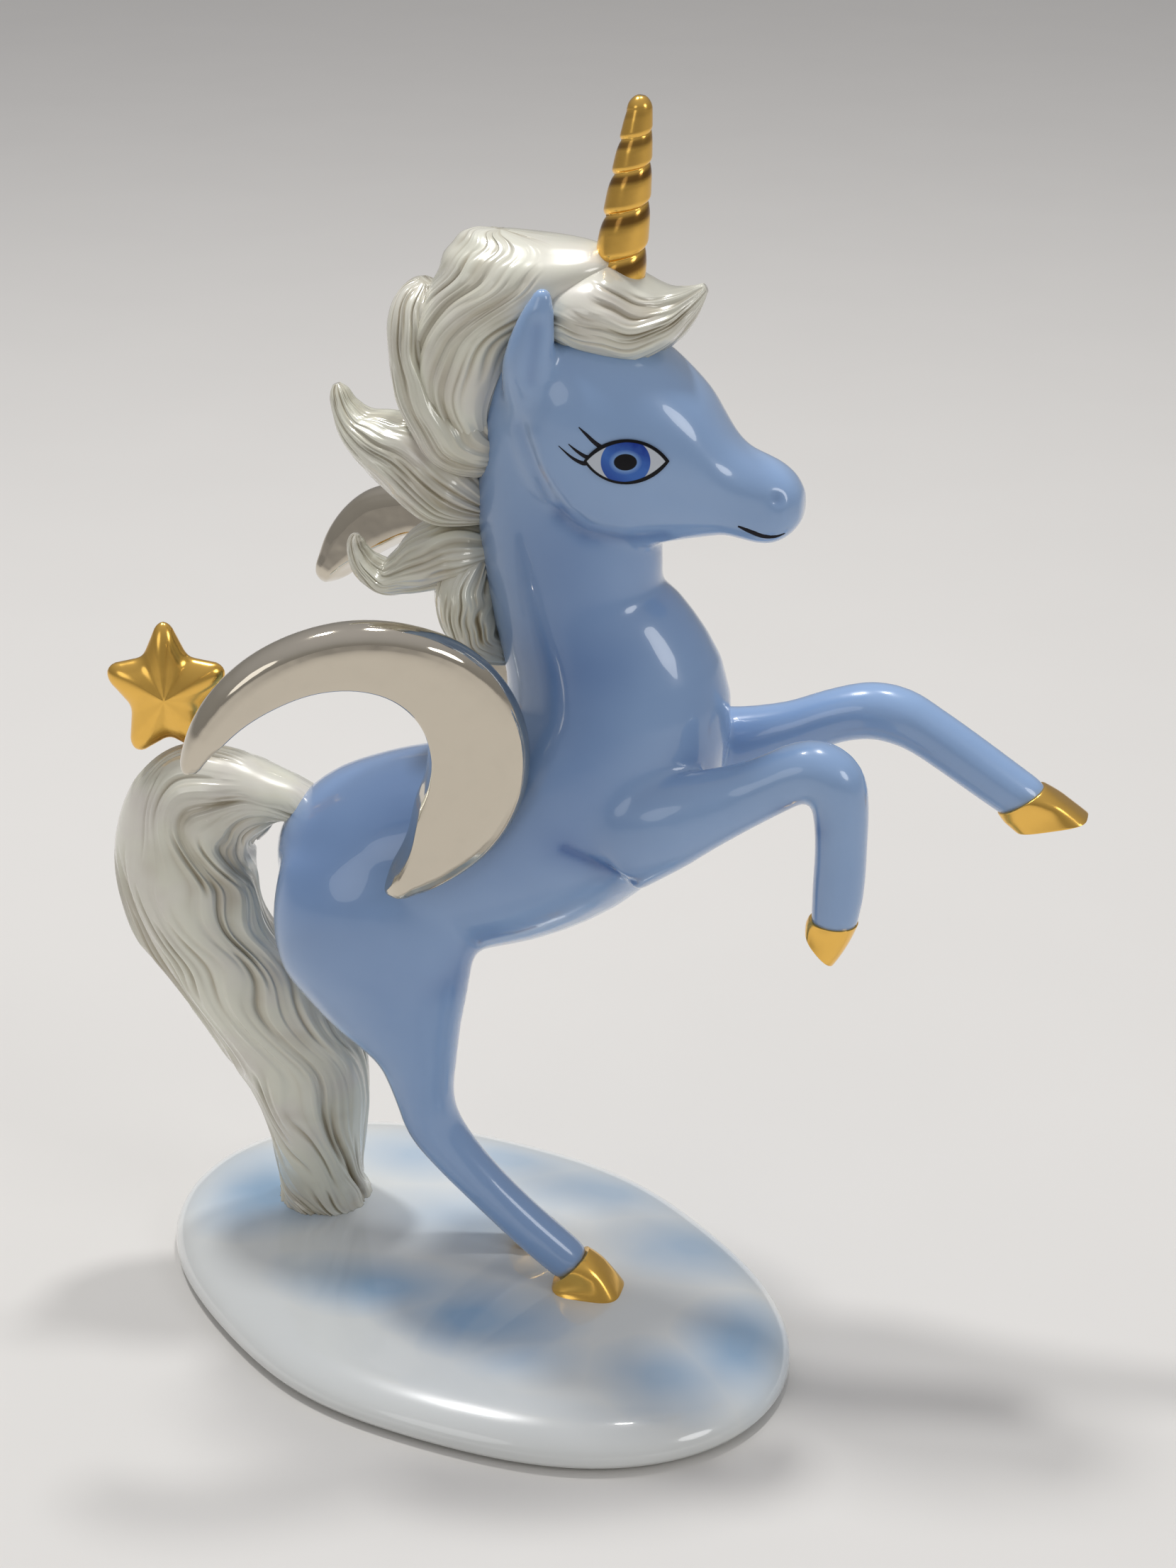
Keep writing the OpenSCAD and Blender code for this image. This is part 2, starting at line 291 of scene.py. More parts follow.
@dataclass(frozen=True)
class BlueGlaze:
    """Clear glaze over a sky-blue underglaze, darker in the creases and low places with airbrushed blue and
    painted shade.
    """

    pale: Colour = (0.29, 0.44, 0.70)
    # The deep blue serves both the airbrushed colour and the painted shade.
    deep: Colour = (0.05, 0.14, 0.38)
    mottle: float = 9.0
    mottle_share: float = 0.07

    def material(self) -> bpy.types.Material:
        """Build the finish."""
        surface = Surface("blue_glaze")
        drift = (surface.noise(self.mottle) - 0.5) * (2 * self.mottle_share)
        # The painted attribute darkens the blue: partly airbrushed colour, partly painted shade in creases,
        # hollows and low places.
        dark = (surface.attribute("spray") + drift).clamped()
        return surface.principled(
            base_color=surface.mix(dark, self.pale, self.deep),
            roughness=surface.noise(4.0) * 0.06 + 0.22,
            coat_weight=1.0,
            coat_roughness=0.03,
            normal=surface.bump(surface.noise(2.4, 1.0), 0.006),
        )


@dataclass(frozen=True)
class PearlGlaze:
    """Mother-of-pearl lustre on white. Random pinker blotches are a painted iridescent sheen; the warm wash
    lies in random broad blotches and in the grooves, where it is also painted shade.
    """

    crown: Colour = (0.78, 0.775, 0.66)
    sheen_tint: Colour = (0.74, 0.70, 0.64)
    wash: Colour = (0.36, 0.30, 0.19)
    wash_share: float = 0.5

    def material(self) -> bpy.types.Material:
        """Build the finish."""
        surface = Surface("pearl_glaze")
        # Painted iridescent sheen: random blotches of a pinker white.
        painted_sheen = ((surface.noise(7.0) - 0.45) * 3.0).clamped()
        pooled = ((surface.noise(9.0) - 0.5) * 3.0).clamped() * self.wash_share
        # The warm wash lies in random broad blotches and in the grooves and clump gaps, where it is also
        # painted shade.
        wash_and_groove_shade = (surface.attribute("groove") * (surface.noise(6.0) + 0.35) + pooled).clamped()
        pearl = surface.mix(painted_sheen, self.crown, self.sheen_tint)
        return surface.principled(
            base_color=surface.mix(wash_and_groove_shade, pearl, self.wash),
            roughness=surface.noise(3.0) * 0.12 + 0.18,
            metallic=0.06,
            coat_weight=1.0,
            coat_roughness=0.035,
        )


@dataclass(frozen=True)
class WhiteGlaze:
    """White glaze with soft blue patches sprayed on it.

    A patch is its middle, its half sizes and its force.
    """

    white: Colour = (0.76, 0.78, 0.77)
    blue: Colour = (0.22, 0.42, 0.66)
    blue_share: float = 0.8
    core: float = 1.15
    fall: float = 0.75
    waver: float = 0.8
    patches: Line = (
        (-14.5, 20.0, 9.0, 5.0, 0.6),
        (-2.0, 22.0, 9.0, 4.5, 0.6),
        (12.0, 17.5, 10.0, 5.0, 0.65),
        (26.0, 8.0, 9.0, 6.0, 0.75),
        (35.5, -11.0, 5.5, 7.5, 1.0),
        (-9.5, -10.5, 10.5, 5.0, 1.0),
        (3.0, -14.5, 9.0, 5.5, 0.95),
        (11.7, -20.5, 6.0, 4.0, 0.5),
        (28.0, -20.0, 6.5, 5.0, 0.8),
        (-4.0, 6.0, 10.0, 6.0, 0.5),
        (-30.5, 7.0, 8.0, 8.0, 1.0),
    )

    def material(self) -> bpy.types.Material:
        """Build the finish."""
        surface = Surface("white_glaze")
        x, y, _ = surface.axes()
        warp = (surface.noise(12.0) - 0.5) * self.waver
        spray = None
        for patch_x, patch_y, reach_x, reach_y, force in self.patches:
            across, along = (x - patch_x) / reach_x, (y - patch_y) / reach_y
            gap = (across * across + along * along).root()
            patch = (self.core - gap * self.fall + warp).clamped() * force
            spray = patch if spray is None else spray.most(patch)
        return surface.principled(
            base_color=surface.mix(spray * self.blue_share, self.white, self.blue),
            roughness=surface.noise(6.0) * 0.08 + 0.18,
            coat_weight=1.0,
            coat_roughness=0.03,
            normal=surface.bump(surface.noise(9.0, 1.0), 0.05),
        )


@dataclass(frozen=True)
class Lustre:
    """Brushed-on metal lustre, thinner in places, with painted shade in marked grooves."""

    name: str
    metal: Colour
    # The thin colour serves both the thin lustre and the painted shade in grooves.
    thin: Colour
    gloss: float
    ripple: float
    mottle: float

    def material(self) -> bpy.types.Material:
        """Build the finish."""
        surface = Surface(self.name)
        # Random thin lustre, and painted shade where a groove is marked.
        wear_and_shade = ((surface.noise(2.4, 3.0) - 0.5) * 2.5).clamped() * self.mottle
        return surface.principled(
            base_color=surface.mix(wear_and_shade.most(surface.attribute("groove")), self.metal, self.thin),
            roughness=surface.noise(1.5) * 0.08 + self.gloss,
            metallic=1.0,
            coat_weight=0.2,
            coat_roughness=0.03,
            normal=surface.bump(surface.noise(5.0, 2.0), self.ripple),
        )


GOLD = Lustre(
    "gold_lustre",
    metal=(0.94, 0.56, 0.12),
    thin=(0.14, 0.05, 0.01),
    gloss=0.17,
    ripple=0.05,
    mottle=0.12,
)
PLATINUM = Lustre(
    "platinum_lustre",
    metal=(0.65, 0.59, 0.49),
    thin=(0.42, 0.38, 0.32),
    gloss=0.03,
    ripple=0.12,
    mottle=0.1,
)


@dataclass(frozen=True)
class EyePaint:
    """The painted eye: white, ringed blue iris, dark pupil and dark lids."""

    middle: tuple[float, float] = (20.4, 113.45)
    tilt: float = 0.005
    half_width: float = 4.4
    half_height: float = 2.45
    iris: float = 2.6
    ring: tuple[float, float] = (1.75, 1.4)
    pupil: tuple[float, float] = (1.25, 0.95)
    lid: float = 0.26
    edge: float = 0.07
    white: Colour = (0.56, 0.60, 0.66)
    blue: Colour = (0.055, 0.16, 0.52)
    deep: Colour = (0.008, 0.03, 0.28)
    pale: Colour = (0.20, 0.35, 0.66)
    dark: Colour = (0.004, 0.004, 0.006)

    @property
    def lid_radius(self) -> float:
        """The radius of either lid's arc."""
        return (self.half_width**2 + self.half_height**2) / (2 * self.half_height)

    def opening(self, across: np.ndarray) -> np.ndarray:
        """Half the height between the lids at some places across the eye."""
        return np.sqrt(self.lid_radius**2 - across**2) - self.lid_radius + self.half_height

    def material(self) -> bpy.types.Material:
        """Build the finish."""
        surface = Surface("eye_paint")
        x, _, z = surface.axes()
        u = x - self.middle[0]
        v = z - self.middle[1] - u * self.tilt
        drop = self.lid_radius - self.half_height
        upper = self.lid_radius - (u * u + (v + drop) * (v + drop)).root()
        lower = self.lid_radius - (u * u + (v - drop) * (v - drop)).root()
        width = self.lid + (u * v * -0.035).clamped()
        lids = (1.0 - (upper.least(lower) - width) / self.edge).clamped()
        iris = ((self.iris - (u * u + v * v).root()) / self.edge).clamped()
        ring = ((1.0 - self.reach(u, v, self.ring)) * 3.0).clamped()
        pupil = ((1.0 - self.reach(u, v, self.pupil)) * 12.0).clamped()
        above = u * 0.16 + v * 0.34 + (surface.noise(1.0) - 0.5) * 0.7
        below = -0.35 - v * 0.3 - u * 0.25
        gloom = above.most(below).clamped()
        colour = surface.mix(iris, self.white, surface.mix(gloom, self.blue, self.deep))
        colour = surface.mix(ring, colour, self.pale)
        colour = surface.mix(pupil.most(lids), colour, self.dark)
        return surface.principled(base_color=colour, roughness=0.3, specular_ior_level=0.12, coat_weight=0.15)

    @staticmethod
    def reach(u: Value, v: Value, size: tuple[float, float]) -> Value:
        """How far out a place is, in shares of an oval's half sizes."""
        return ((u / size[0]) * (u / size[0]) + (v / size[1]) * (v / size[1])).root()


@dataclass(frozen=True)
class Enamel:
    """Plain overglaze paint."""

    name: str
    colour: Colour

    def material(self) -> bpy.types.Material:
        """Build the finish."""
        surface = Surface(self.name)
        thin = tuple(c * 1.6 + 0.004 for c in self.colour)
        return surface.principled(
            base_color=surface.mix(surface.noise(0.6), self.colour, thin),
            roughness=0.4,
            specular_ior_level=0.15,
        )


# Modelling moves


def deselect() -> None:
    """Clear the object selection."""
    bpy.ops.object.select_all(action="DESELECT")


def pick(obj: bpy.types.Object) -> None:
    """Make an object the only selected and active one."""
    deselect()
    obj.select_set(True)
    bpy.context.view_layer.objects.active = obj


def modify(obj: bpy.types.Object, kind: str, **settings: Any) -> None:
    """Add a modifier and apply it.

    Args:
        obj: The object.
        kind: The modifier's type.
        settings: Its properties.
    """
    pick(obj)
    made = obj.modifiers.new(kind.lower(), kind)
    for key, value in settings.items():
        setattr(made, key, value)
    bpy.ops.object.modifier_apply(modifier=made.name)


def named(name: str) -> bpy.types.Object:
    """Name the object that was just added, and its mesh."""
    obj = bpy.context.object
    obj.name = obj.data.name = name
    return obj


def shade(obj: bpy.types.Object, angle: float | None = None) -> None:
    """Shade a piece smoothly, apart from edges sharper than an angle in degrees."""
    pick(obj)
    if angle is None:
        bpy.ops.object.shade_smooth()
    else:
        bpy.ops.object.shade_smooth_by_angle(angle=math.radians(angle))


def ease(values: np.ndarray, start: float, end: float) -> np.ndarray:
    """How far numbers are on their way from a start to an end, from 0 to 1."""
    return np.clip((values - start) / (end - start), 0.0, 1.0)


def face_out(obj: bpy.types.Object) -> None:
    """Turn all faces of a closed mesh outwards."""
    pick(obj)
    bpy.ops.object.mode_set(mode="EDIT")
    bpy.ops.mesh.select_all(action="SELECT")
    bpy.ops.mesh.normals_make_consistent(inside=False)
    bpy.ops.object.mode_set(mode="OBJECT")


def points_of(obj: bpy.types.Object) -> np.ndarray:
    """The mesh's vertices as rows of x, y, z."""
    flat = np.empty(len(obj.data.vertices) * 3)
    obj.data.vertices.foreach_get("co", flat)
    return flat.reshape(-1, 3)


def set_points(obj: bpy.types.Object, points: np.ndarray) -> None:
    """Move the mesh's vertices to new places."""
    obj.data.vertices.foreach_set("co", points.astype(np.float32).ravel())
    obj.data.update()


def normals_of(obj: bpy.types.Object) -> np.ndarray:
    """The vertices' normals."""
    flat = np.empty(len(obj.data.vertices) * 3, np.float32)
    obj.data.vertex_normals.foreach_get("vector", flat)
    return flat.reshape(-1, 3).astype(float)


def paint(obj: bpy.types.Object, name: str, values: np.ndarray) -> None:
    """Store a number on each vertex."""
    layer = obj.data.attributes.new(name, "FLOAT", "POINT")
    layer.data.foreach_set("value", values.astype(np.float32).ravel())


def smooth_line(line: Line, steps: int) -> np.ndarray:
    """Pass a smooth curve through a row of stations.

    Args:
        line: Stations in millimetres.
        steps: Rings for each stretch between two stations.

    Returns:
        Rows in metres.
    """
    rows = np.asarray(line, float) * MM
    last = len(rows) - 1
    made = []
    for i in range(last):
        a, b, c, d = (rows[min(max(j, 0), last)] for j in (i - 1, i, i + 1, i + 2))
        for t in np.arange(steps) / steps:
            bend = (2 * a - 5 * b + 4 * c - d) * t**2 + (3 * b - a - 3 * c + d) * t**3
            made.append((2 * b + (c - a) * t + bend) / 2)
    made.append(rows[last])
    return np.array(made)


def turns_along(rows: np.ndarray) -> np.ndarray:
    """The turn of each ring about Y, so that it stands across the line."""
    ahead = np.vstack([rows[1:], rows[-1:]])
    behind = np.vstack([rows[:1], rows[:-1]])
    run = ahead - behind
    return np.unwrap(np.arctan2(run[:, 0], run[:, 2]))


def oval(sides: int, power: float = 2.0) -> np.ndarray:
    """A ring's section, squarer as the power grows.

    Args:
        sides: Vertices in the ring.
        power: 2 for an ellipse.

    Returns:
        Shares of the half sizes in the plane of the bend and across it.
    """
    angle = np.linspace(0.0, 2 * np.pi, sides, endpoint=False)
    wave = np.column_stack([np.sin(angle), np.cos(angle)])
    return np.sign(wave) * np.abs(wave) ** (2.0 / power)


def loft(
    name: str,
    rows: np.ndarray,
    sides: int,
    turns: np.ndarray | None = None,
    sections: np.ndarray | None = None,
) -> bpy.types.Object:
    """Extrude a disc along a row of rings.

    Args:
        name: The object's name.
        rows: Rings as x, y, z, half size in the plane of the bend and half size across it.
        sides: Vertices in a ring.
        turns: Each ring's turn about Y; across the line if left out.
        sections: Each ring's outline in shares of its half sizes; an ellipse if left out.

    Returns:
        A closed solid whose vertices run ring by ring.
    """
    turns = turns_along(rows) if turns is None else turns
    deselect()
    bpy.ops.mesh.primitive_circle_add(vertices=sides, radius=1.0, fill_type="NGON", location=rows[0, :3])
    obj = named(name)
    bpy.ops.object.transform_apply(location=True, rotation=True, scale=True)
    bpy.ops.object.mode_set(mode="EDIT")
    bpy.ops.mesh.select_all(action="SELECT")
    size, turn = np.ones(2), 0.0
    for i, row in enumerate(rows):
        middle = tuple(row[:3])
        if i:
            step = tuple(row[:3] - rows[i - 1, :3])
            bpy.ops.mesh.extrude_region_move(TRANSFORM_OT_translate={"value": step})
        if sections is None:
            bpy.ops.transform.rotate(value=turn, orient_axis="Y", center_override=middle)
            growth = row[3:5] / size
            bpy.ops.transform.resize(value=(growth[0], growth[1], 1.0), center_override=middle)
            bpy.ops.transform.rotate(value=-turns[i], orient_axis="Y", center_override=middle)
            size, turn = row[3:5], turns[i]
    bpy.ops.object.mode_set(mode="OBJECT")
    if sections is not None:
        up = np.column_stack([-np.cos(turns), np.zeros(len(rows)), np.sin(turns)])
        points = rows[:, None, :3] + rows[:, None, 3:4] * sections[..., :1] * up[:, None, :]
        points[..., 1] += rows[:, None, 4] * sections[..., 1]
        set_points(obj, points.reshape(-1, 3))
    return obj


def mirrored(obj: bpy.types.Object, name: str) -> bpy.types.Object:
    """Copy an object to the other side of the animal.

    Args:
        obj: The piece on one side.
        name: The copy's name.

    Returns:
        The copy, with its own mesh.
    """
    pick(obj)
    bpy.ops.object.duplicate()
    copy = named(name)
    bpy.ops.object.mode_set(mode="EDIT")
    bpy.ops.mesh.select_all(action="SELECT")
    bpy.ops.transform.mirror(constraint_axis=(False, True, False), center_override=(0.0, 0.0, 0.0))
    bpy.ops.mesh.normals_make_consistent(inside=False)
    bpy.ops.object.mode_set(mode="OBJECT")
    return copy


def joined(pieces: Sequence[bpy.types.Object], name: str) -> bpy.types.Object:
    """Join some objects into one.

    Args:
        pieces: The objects.
        name: The joined object's name.

    Returns:
        The joined object.
    """
    pick(pieces[0])
    for piece in pieces[1:]:
        piece.select_set(True)
    bpy.ops.object.join()
    return named(name)


def dress(
    obj: bpy.types.Object, material: bpy.types.Material, nodes: Iterable[str] = ()
) -> bpy.types.Object:
    """Give a piece its finish and its place in the frame.

    Args:
        obj: The piece.
        material: Its finish.
        nodes: The CAD nodes that the piece stands for.

    Returns:
        The piece.
    """
    obj.data.materials.clear()
    obj.data.materials.append(material)
    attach(obj, ROOT_BODY)
    names = tuple(nodes)
    if names:
        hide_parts(*names)
    LOG.info("%s: %d faces", obj.name, len(obj.data.polygons))
    return obj


def gap_to_path(points: np.ndarray, path: np.ndarray) -> np.ndarray:
    """The distance from each point to a polyline.

    Args:
        points: Rows of coordinates.
        path: The polyline's corners, with the same number of columns.

    Returns:
        One distance for each point.
    """
    best = np.full(len(points), np.inf)
    for start, end in zip(path[:-1], path[1:]):
        run = end - start
        share = np.clip((points - start) @ run / (run @ run), 0.0, 1.0)
        best = np.minimum(best, np.linalg.norm(points - start - share[:, None] * run, axis=1))
    return best


# The animal's body


@dataclass(frozen=True)
class Crease:
    """A line down both flanks, drawn as seen from the side, that is pressed in and darkened with airbrushed
    blue and painted shade.
    """

    path: Line
    reach: float
    press: float = 0.0
    spray: float = 0.0
    beyond: float = 4.0
    blend: float = 2.0

    def share(self, points: np.ndarray) -> np.ndarray:
        """How much of the crease each point feels, for points in millimetres."""
        gap = gap_to_path(points[:, [0, 2]], np.asarray(self.path, float))
        flank = ease(np.abs(points[:, 1]), self.beyond, self.beyond + self.blend)
        return np.exp(-((gap / self.reach) ** 2)) * flank


CHEEK = ((8.6, 116), (10.2, 112), (12.8, 107))
JAW = ((12.8, 106.8), (15.6, 104.5), (20, 103.8), (23.7, 104.2))
ELBOW = ((14.4, 69), (17, 67.6), (19.9, 65.8), (21.8, 65.4))


@dataclass
class Body:
    """The blue casting: trunk, neck, head, ears and legs in one skin."""

    voxel: float = 0.44
    steps: int = 3
    trunk_sides: int = 40
    leg_sides: int = 24
    ear_sides: int = 20
    smoothing: float = 0.5
    first_rounds: int = 10
    last_rounds: int = 4
    zone_force: float = 1.3
    even_spray: float = 0.06
    # Painted shade: the blue grows darker towards the bottom over this span of heights.
    low_shade: float = 0.16
    low_shade_span: tuple[float, float] = (80.0, 10.0)
    head_power: float = 2.4
    trunk: Line = (
        (-23.6, 0, 57.5, 1.5, 1.5),
        (-22.6, 0, 57.7, 4.8, 4.8),
        (-19.6, 0, 58.2, 8.2, 8.2),
        (-14.5, 0, 59.2, 11, 11.4),
        (-8, 0, 60.4, 12.3, 12.8),
        (-1, 0, 62.2, 12.6, 12.5),
        (6, 0, 65.1, 13, 12.5),
        (12, 0, 69.6, 13.4, 12.8),
        (16, 0, 75.8, 13.4, 12.4),
        (17.2, 0, 82.6, 13.2, 11),
        (15.4, 0, 88.4, 11.6, 9.7),
        (13, 0, 93.6, 9.9, 8.8),
        (12.2, 0, 100, 10.2, 8.2),
        (11.6, 0, 106, 10.2, 7.8),
        (10.9, 0, 112, 9.2, 7.4),
        (9.6, 0, 117, 7.8, 6.7),
        (8.6, 0, 121, 5.8, 5.4),
    )
    head: Line = (
        (2.4, 0, 116, 2, 1.5),
        (3.6, 0, 116, 6, 3.6),
        (6, 0, 115.8, 9.2, 5.8),
        (8, 0, 115.4, 10.5, 7.4),
        (10, 0, 115, 11.4, 8.7),
        (12.5, 0, 114.6, 12, 9.6),
        (16, 0, 113.9, 12.4, 9.8),
        (19, 0, 113.4, 11.9, 9.5),
        (22, 0, 112.8, 10.9, 8.8),
        (24.5, 0, 112.1, 9.6, 8),
        (27, 0, 111.1, 8.1, 7),
        (28.6, 0, 110, 6.7, 6.3),
        (30, 0, 109, 5.5, 5.8),
        (31.6, 0, 108.1, 4.9, 5.4),
        (33.6, 0, 107.5, 4.7, 5),
        (35.4, 0, 107.2, 4.2, 4.5),
        (37, 0, 107.1, 3, 3.6),
        (38.1, 0, 107, 1.4, 1.8),
    )
    ear: Line = (
        (8.8, -6, 118, 2.8, 1.6),
        (9.2, -7, 121.4, 3.1, 2.2),
        (9.7, -7.6, 124.5, 2.7, 2),
        (10.3, -7.9, 127.3, 2.1, 1.6),
        (10.9, -8, 129.4, 1.5, 1.3),
        (11.3, -8, 131.2, 0.8, 0.8),
    )
    right_foreleg: Line = (
        (19, -8, 68.5, 6.5, 5),
        (24.5, -9.3, 71.6, 5.6, 4.6),
        (28.8, -9.4, 73.8, 4.7, 4.1),
        (34, -9, 76.2, 3.7, 3.5),
        (37.5, -9, 78.2, 3.4, 3.4),
        (39.6, -9, 79.4, 3.4, 3.4),
        (42, -9, 79.9, 3.5, 3.4),
        (43.9, -9, 78.6, 3.5, 3.4),
        (44.7, -9, 75.6, 3.15, 3.1),
        (44.9, -9, 71, 2.95, 2.9),
        (44.8, -9, 66.5, 2.95, 2.9),
        (44.5, -9, 62.6, 2.7, 2.65),
        (44, -9, 60.8, 2.25, 2.2),
        (43.8, -9, 60, 1.5, 1.5),
    )
    left_foreleg: Line = (
        (20, 8, 69.5, 6.5, 5),
        (26, 8.8, 73.2, 5.4, 4.4),
        (32, 8.4, 75.6, 4, 3.7),
        (36.6, 8.2, 77.4, 3.4, 3.3),
        (41, 8, 79.5, 3.2, 3.1),
        (45.2, 8, 80.6, 3.35, 3.2),
        (48.6, 8, 80.2, 3.35, 3.2),
        (51.6, 8, 78.8, 3.1, 3),
        (55.8, 8, 76.2, 3.05, 2.9),
        (61, 8, 72.8, 2.95, 2.9),
        (63.6, 8, 71.2, 2.8, 2.6),
        (65, 8, 70.4, 2, 1.9),
    )
    right_hind_leg: Line = (
        (-13, -6.5, 64, 8.5, 5.2),
        (-11.4, -8.2, 58, 11.4, 6.2),
        (-9.4, -8.4, 51.5, 12.2, 6),
        (-7.6, -7.6, 44.5, 9.4, 5),
        (-5.6, -6.5, 37.5, 5.4, 4.1),
        (-4.9, -5.8, 31.4, 3.7, 3.5),
        (-3.8, -5.5, 27, 3.4, 3.2),
        (-0.8, -5.4, 22.8, 3, 2.9),
        (3, -5.2, 18.6, 2.75, 2.7),
        (7.4, -4.9, 14.2, 2.7, 2.7),
        (12, -4.5, 10, 2.7, 2.7),
        (13.4, -4.5, 8.7, 2.4, 2.4),
    )
    left_hind_leg: Line = (
        (-12, 7.5, 62, 8, 5),
        (-11.4, 8.4, 57, 10, 5.6),
        (-10, 7.8, 51, 9.4, 5.2),
        (-8.6, 6.4, 44, 6.6, 4.4),
        (-8.8, 5, 38, 4.4, 3.8),
        (-9.3, 4.2, 33, 3.3, 3.2),
        (-8.6, 3.8, 28.6, 2.9, 2.9),
        (-7.3, 3.5, 24, 2.6, 2.6),
        (-5, 3.4, 19.6, 2.4, 2.4),
        (-0.9, 3.3, 14.6, 2.3, 2.3),
        (3.8, 3.2, 10, 2.3, 2.3),
        (4.9, 3.2, 8.9, 2, 2),
    )
    soft_zones: tuple[tuple[tuple[float, float, float], float, int], ...] = (
        ((-12, 10, 58), 15.0, 150),
        ((-22, 5, 55), 9.0, 120),
        ((19, 10, 71), 10.0, 110),
        ((2, 7, 52), 7.0, 60),
        ((8.5, 7, 119.5), 4.5, 60),
    )
    # Each crease's darkening is partly airbrushed blue and partly painted shade: in the creases and hollows,
    # over broad zones of the neck, rump, haunch and shoulder, and as painted shadow under the head and the
    # crescent.
    creases: tuple[Crease, ...] = (
        Crease(((12, 101), (13.5, 92), (14, 84)), 7.5, spray=0.36, beyond=-2.0),
        Crease(((-20, 64), (-8, 71)), 7.0, spray=0.3, beyond=-2.0),
        Crease(((-14, 58), (-7, 50)), 9.0, spray=0.16, beyond=-2.0),
        Crease(((0, 68), (15, 72)), 8.0, spray=0.3, beyond=-2.0),
        Crease(CHEEK, 1.0, press=0.3, spray=0.1, beyond=3.0),
        Crease(JAW, 0.8, press=0.3, spray=0.4, beyond=2.0),
        Crease(((10.4, 115.4), (11.9, 112), (14.3, 108.3), (16.6, 106.5), (20, 105.7)), 0.9, press=-0.2),
        Crease(ELBOW, 0.7, press=0.35, spray=0.55, beyond=7.0),
        Crease(ELBOW, 2.4, spray=0.25, beyond=7.0),
        Crease(((39.6, 75.2), (41.8, 74.2)), 1.8, spray=0.45, beyond=5.0),
        Crease(((42.2, 73.5), (42, 68), (42, 63)), 0.9, spray=0.35, beyond=5.0),
        Crease(((1, 49), (5, 55)), 2.6, spray=0.3, beyond=3.0),
        Crease(((-9.5, 31), (-7, 25)), 2.0, spray=0.3, beyond=2.0),
        Crease(((35.7, 108.9), (35.9, 108.7)), 0.55, press=0.4, spray=0.2, beyond=1.0),
        Crease(((24, 110), (29, 108.2), (33.5, 107.2)), 1.5, press=0.25, beyond=2.0),
        Crease(((8, 90), (14, 89), (19, 90)), 4.0, spray=0.2),
        Crease(((10, 121.5), (10.5, 125), (10.8, 127.5)), 0.7, press=0.35, spray=0.25, beyond=6.0),
        Crease(((2.5, 98), (2, 108), (3, 116)), 2.0, spray=0.3, beyond=2.0),
    )
    nodes: tuple[str, ...] = (
        "torso",
        "neck",
        "head",
        "right_ear",
        "left_ear",
        "right_foreleg",
        "left_foreleg",
        "right_hind_leg",
        "left_hind_leg",
    )

    def build(self, glaze: bpy.types.Material) -> bpy.types.Object:
        """Model the casting.

        Args:
            glaze: Its finish.

        Returns:
            The body.
        """
        forms = [loft("trunk_form", smooth_line(self.trunk, self.steps), self.trunk_sides), self.head_form()]
        for leg in (self.right_foreleg, self.left_foreleg, self.right_hind_leg, self.left_hind_leg):
            forms.append(loft("leg_form", smooth_line(leg, self.steps), self.leg_sides))
        ear = loft("ear_form", smooth_line(self.ear, self.steps), self.ear_sides)
        forms += [ear, mirrored(ear, "left_ear_form")]
        body = joined(forms, "glazed_body")
        modify(body, "REMESH", mode="VOXEL", voxel_size=self.voxel * MM)
        modify(body, "SMOOTH", factor=self.smoothing, iterations=self.first_rounds)
        self.relax(body)
        self.press(body)
        modify(body, "SMOOTH", factor=self.smoothing, iterations=self.last_rounds)
        shade(body)
        # The stored darkening is airbrushed blue and painted shade.
        paint(body, "spray", self.spray(body))
        return dress(body, glaze, self.nodes)

    def head_form(self) -> bpy.types.Object:
        """The head, with upright rings, flattened cheeks and a flat front to the face."""
        rows = smooth_line(self.head, self.steps)
        ring = oval(self.trunk_sides, self.head_power)
        sections = np.broadcast_to(ring, (len(rows), *ring.shape))
        return loft("head_form", rows, self.trunk_sides, np.full(len(rows), np.pi / 2), sections)

    def relax(self, body: bpy.types.Object) -> None:
        """Blend the limbs into the trunk and the ears into the head."""
        for number, (middle, reach, rounds) in enumerate(self.soft_zones):
            points = points_of(body) / MM
            points[:, 1] = np.abs(points[:, 1])
            gap = np.linalg.norm(points - middle, axis=1)
            share = np.clip(self.zone_force - self.zone_force * gap / reach, 0.0, 1.0)
            group = body.vertex_groups.new(name=f"soft_{number}")
            for tenth in range(1, 11):
                group.add(np.flatnonzero(np.round(share * 10) == tenth).tolist(), tenth / 10, "REPLACE")
            modify(body, "SMOOTH", factor=self.smoothing, iterations=rounds, vertex_group=group.name)

    def press(self, body: bpy.types.Object) -> None:
        """Press the creases in."""
        points = points_of(body)
        depth = sum(crease.press * crease.share(points / MM) for crease in self.creases if crease.press)
        set_points(body, points - normals_of(body) * depth[:, None] * MM)

    def spray(self, body: bpy.types.Object) -> np.ndarray:
        """How dark the blue is at each vertex: partly airbrushed colour, partly painted shade in the creases,
        over broad zones and towards the bottom.
        """
        points = points_of(body) / MM
        dark = self.even_spray + self.low_shade * ease(points[:, 2], *self.low_shade_span)
        return dark + sum(crease.spray * crease.share(points) for crease in self.creases)


